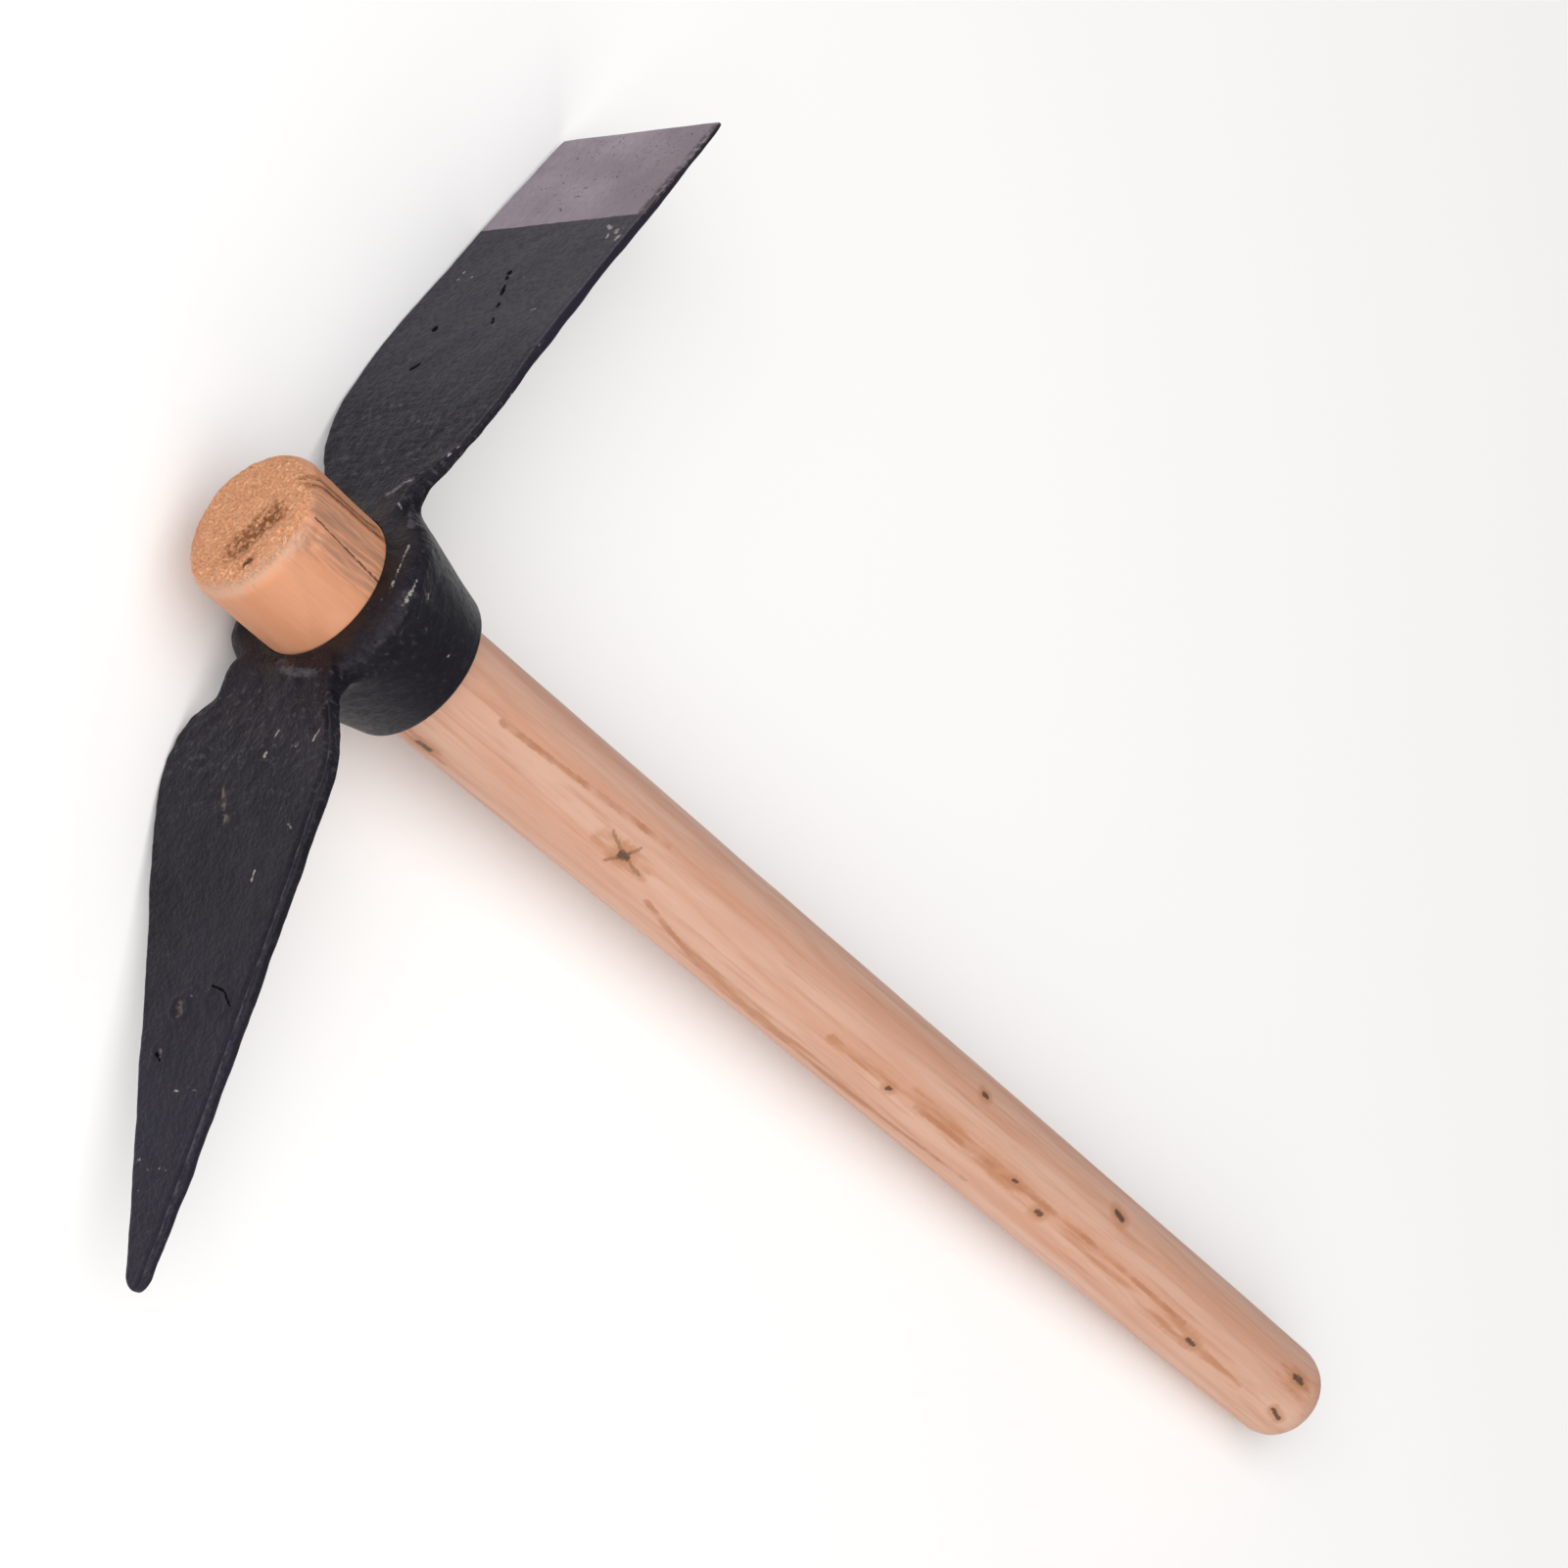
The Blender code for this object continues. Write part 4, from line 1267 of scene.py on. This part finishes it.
def bareWood(tool):
    # wood from layers of colour, each base + mask * (colour - base); the rings are the sine
    # of 2 pi times the distance from the pith over their spacing
    look = woodLook
    material, tree, shader, place = newMaterial("bareWood", tool)
    x, y, height = addNode(tree, "SeparateXYZ", {0: place}).node.outputs
    arcLength = product(tree, maths(tree, "ARCTAN2", y, x), look["unrollRadius"])
    skin = addNode(tree, "CombineXYZ", {0: arcLength, 2: height})
    jitter = centredNoise(tree, place, marking["jitterScale"], marking["jitterDetail"])
    skinJitter = vectorMaths(tree, "MULTIPLY", jitter, (1.0, 0.0, 1.0))

    def skinMarks(name, widen=1.0):
        # marks on the handle's skin rolled out flat
        return marks(tree, skin, skinJitter, unrolled(look[name]), widen)

    # growth rings round a pith that wanders along the handle
    scales, detail, amount = look["wander"]
    wander = vectorMaths(tree, "MULTIPLY", place, scales)
    wander = scaled(tree, centredNoise(tree, wander, 1.0, detail), amount)
    fromPith = vectorMaths(tree, "ADD", place, wander)
    fromPith = vectorMaths(tree, "SUBTRACT", fromPith, (*handleShape["pith"], 0.0))
    fromPith = vectorMaths(tree, "MULTIPLY", fromPith, (1.0, 1.0, 0.0))
    away = vectorMaths(tree, "LENGTH", fromPith, output=1)
    wave = maths(tree, "SINE", product(tree, away, 2.0 * math.pi / look["rings"]))
    rings = ramp(tree, wave, *look["ringBand"])
    fibres = streaks(tree, place, *look["fibres"])
    strands = streaks(tree, place, *look["strands"])

    base = mixColours(tree, streaks(tree, place, *look["broad"]), look["warm"], look["pale"])
    onStub = ramp(tree, height, *look["stubHeights"])
    base = layer(tree, base, look["stub"], onStub, look["stubShare"])
    base = layer(tree, base, look["line"], strands, look["strandShare"])
    byFibres, everywhere = look["ringShares"]
    lineShare = maths(tree, "ADD", product(tree, fibres, byFibres), everywhere)
    base = layer(tree, base, look["line"], rings, lineShare)
    base = layer(tree, base, look["warm"], fibres, look["fibreShare"])

    # stains and long lines along the grain, knots with halos and cracks, and painted shade as grey strips on the
    # stub's +X flats
    stains = product(tree, skinMarks("stains"), streaks(tree, place, *look["stainStreaks"]))
    base = layer(tree, base, look["halo"], stains, look["stainShare"])
    longLines = product(tree, skinMarks("longLines"), mottle(tree, place, *look["linePatches"]))
    base = layer(tree, base, look["line"], longLines, look["longLineShare"])
    halo = skinMarks("knots", look["haloWidening"])
    base = layer(tree, base, look["halo"], halo, look["haloShare"])
    base = layer(tree, base, look["ray"], skinMarks("rays"), look["rayShare"])
    knots = product(tree, skinMarks("knots"), mottle(tree, place, *look["knotTexture"]))
    base = layer(tree, base, look["knot"], knots)
    # painted shade: darker, greyer strips down the stub's flats on the +X side
    stripShare = product(tree, streaks(tree, place, *look["stripStreaks"]), look["stripShare"])
    base = layer(tree, base, look["flatShade"], skinMarks("shadedFlats"), stripShare)

    # end grain: orange and torn, dark about the pith
    onEnd = ramp(tree, height, *(handleShape["stubLength"] - below for below in look["endDepths"]))
    torn = mottle(tree, place, *look["tornEnd"])
    before, after, width, wobble = look["pithMark"]
    pithX, pithY = (v / mm for v in handleShape["pith"])
    top = handleShape["stubLength"] / mm
    start, end = ((pithX + part, pithY + part, top) for part in (before, after))
    pith = marks(tree, place, jitter, ((start, end, width, wobble),))
    endTone = mixColours(tree, torn, look["endGrain"], look["endPale"])
    specks = product(tree, mottle(tree, place, *look["endSpecks"]), look["speckShare"])
    dark = product(tree, pith, mottle(tree, place, *look["pithTexture"]))
    endTone = layer(tree, endTone, look["endDark"], maths(tree, "MAXIMUM", dark, specks))
    base = layer(tree, base, endTone, onEnd)
    rim = marks(tree, place, jitter, look["rim"])
    rim = product(tree, rim, mottle(tree, place, *look["rimTexture"]))
    base = layer(tree, base, look["ragged"], rim)
    base = layer(tree, base, look["endDark"], skinMarks("brownBands"), look["bandShare"])
    cracks = product(tree, skinMarks("cracks"), mottle(tree, place, *look["crackTexture"]))
    cracks = maths(tree, "MAXIMUM", cracks, marks(tree, place, jitter, look["slit"]))
    tree.links.new(layer(tree, base, look["crack"], cracks), shader.inputs["Base Color"])
    even, byFibres, byEnd = look["roughness"]
    rough = maths(tree, "ADD", product(tree, fibres, byFibres), even)
    rough = maths(tree, "ADD", rough, product(tree, onEnd, byEnd))
    tree.links.new(rough, shader.inputs["Roughness"])
    reliefs = (fibres, rings, product(tree, torn, onEnd))
    bumpFrom(tree, shader, zip(reliefs, look["relief"]), look["reliefDepth"])
    return material


studio = {
    "floorSize": 60.0,
    "floorColours": (colour(0.955, 0.955, 0.955), colour(0.97, 0.97, 0.97)),
    "floorPatch": 0.6,  # size of its faint clouds in metres
    "floorRoughness": 0.9,
    "skyStrength": 0.33,
    "skyColour": colour(1.0, 1.0, 1.0),
    "lamps": (  # azimuth, elevation, distance, size, watts, colour
        ("highLamp", -62, 58, 2.2, 3.0, 60.0, (1.0, 0.99, 0.985)),
        ("lowLamp", 8, 20, 2.2, 2.0, 13.0, (1.0, 0.93, 0.85)),
    ),
}


def paleFloor():
    # floor paint with the faintest cloudiness: two colours mixed by a slow noise
    material = bpy.data.materials.new("paleFloor")
    material.use_nodes = True
    tree = material.node_tree
    shader = tree.nodes["Principled BSDF"]
    place = addNode(tree, "TexCoord", output=3)
    cloud = mottle(tree, place, studio["floorPatch"])
    tree.links.new(mixColours(tree, cloud, *studio["floorColours"]), shader.inputs["Base Color"])
    shader.inputs["Roughness"].default_value = studio["floorRoughness"]
    shader.inputs["Specular IOR Level"].default_value = 0.0
    return material


def softLight(name, azimuth, elevation, distance, size, watts, tint, target):
    # a square lamp at the target plus distance times (sin a cos e, -cos a cos e, sin e), with
    # azimuth a and elevation e in degrees, looking at the target
    a, e = math.radians(azimuth), math.radians(elevation)
    away = Vector((math.sin(a) * math.cos(e), -math.cos(a) * math.cos(e), math.sin(e)))
    data = bpy.data.lights.new(name, "AREA")
    data.size = size
    data.energy = watts
    data.color = tint
    lamp = bpy.data.objects.new(name, data)
    bpy.context.scene.collection.objects.link(lamp)
    turn = away.to_track_quat("Z", "Y").to_matrix().to_4x4()
    lamp.matrix_world = Matrix.Translation(target + away * distance) @ turn


def buildStudio():
    # a square floor at z = 0, an even sky, and the lamps aimed at the middle of the tool
    half = 0.5 * studio["floorSize"]
    corners = half * np.array([(-1, -1, 0), (1, -1, 0), (1, 1, 0), (-1, 1, 0)])
    floor = meshFrom("floor", corners, [(0, 1, 2, 3)])
    floor.data.materials.append(paleFloor())
    world = bpy.data.worlds.new("studioWorld")
    world.use_nodes = True
    background = world.node_tree.nodes["Background"]
    background.inputs["Color"].default_value = studio["skyColour"]
    background.inputs["Strength"].default_value = studio["skyStrength"]
    bpy.context.scene.world = world
    bpy.context.scene.view_settings.view_transform = "Standard"
    middle = 0.5 * (cadLow + cadHigh)
    for lamp in studio["lamps"]:
        softLight(*lamp, middle)


tool = toolMatrix()
print("tool axes found:", [round(v, 4) for v in tool.translation])
placeCamera(tool)
head = forgeHead()
print("head forged:", len(head.data.vertices), "points")
handle = turnHandle()
print("handle turned:", len(handle.data.vertices), "points")
sharpest = 50.0  # edges sharper than this many degrees stay sharp
for piece in (head, handle):
    settle(piece, tool, sharpest)
head.data.materials.clear()
head.data.materials.append(blackPaint(tool))
handle.data.materials.append(bareWood(tool))
print("paint and wood made:", len(groups), "shader groups")
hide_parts("forged_head")
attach(head, "head")
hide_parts("wooden_handle")
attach(handle, "handle")
buildStudio()
print("studio lit:", len(studio["lamps"]), "lamps")
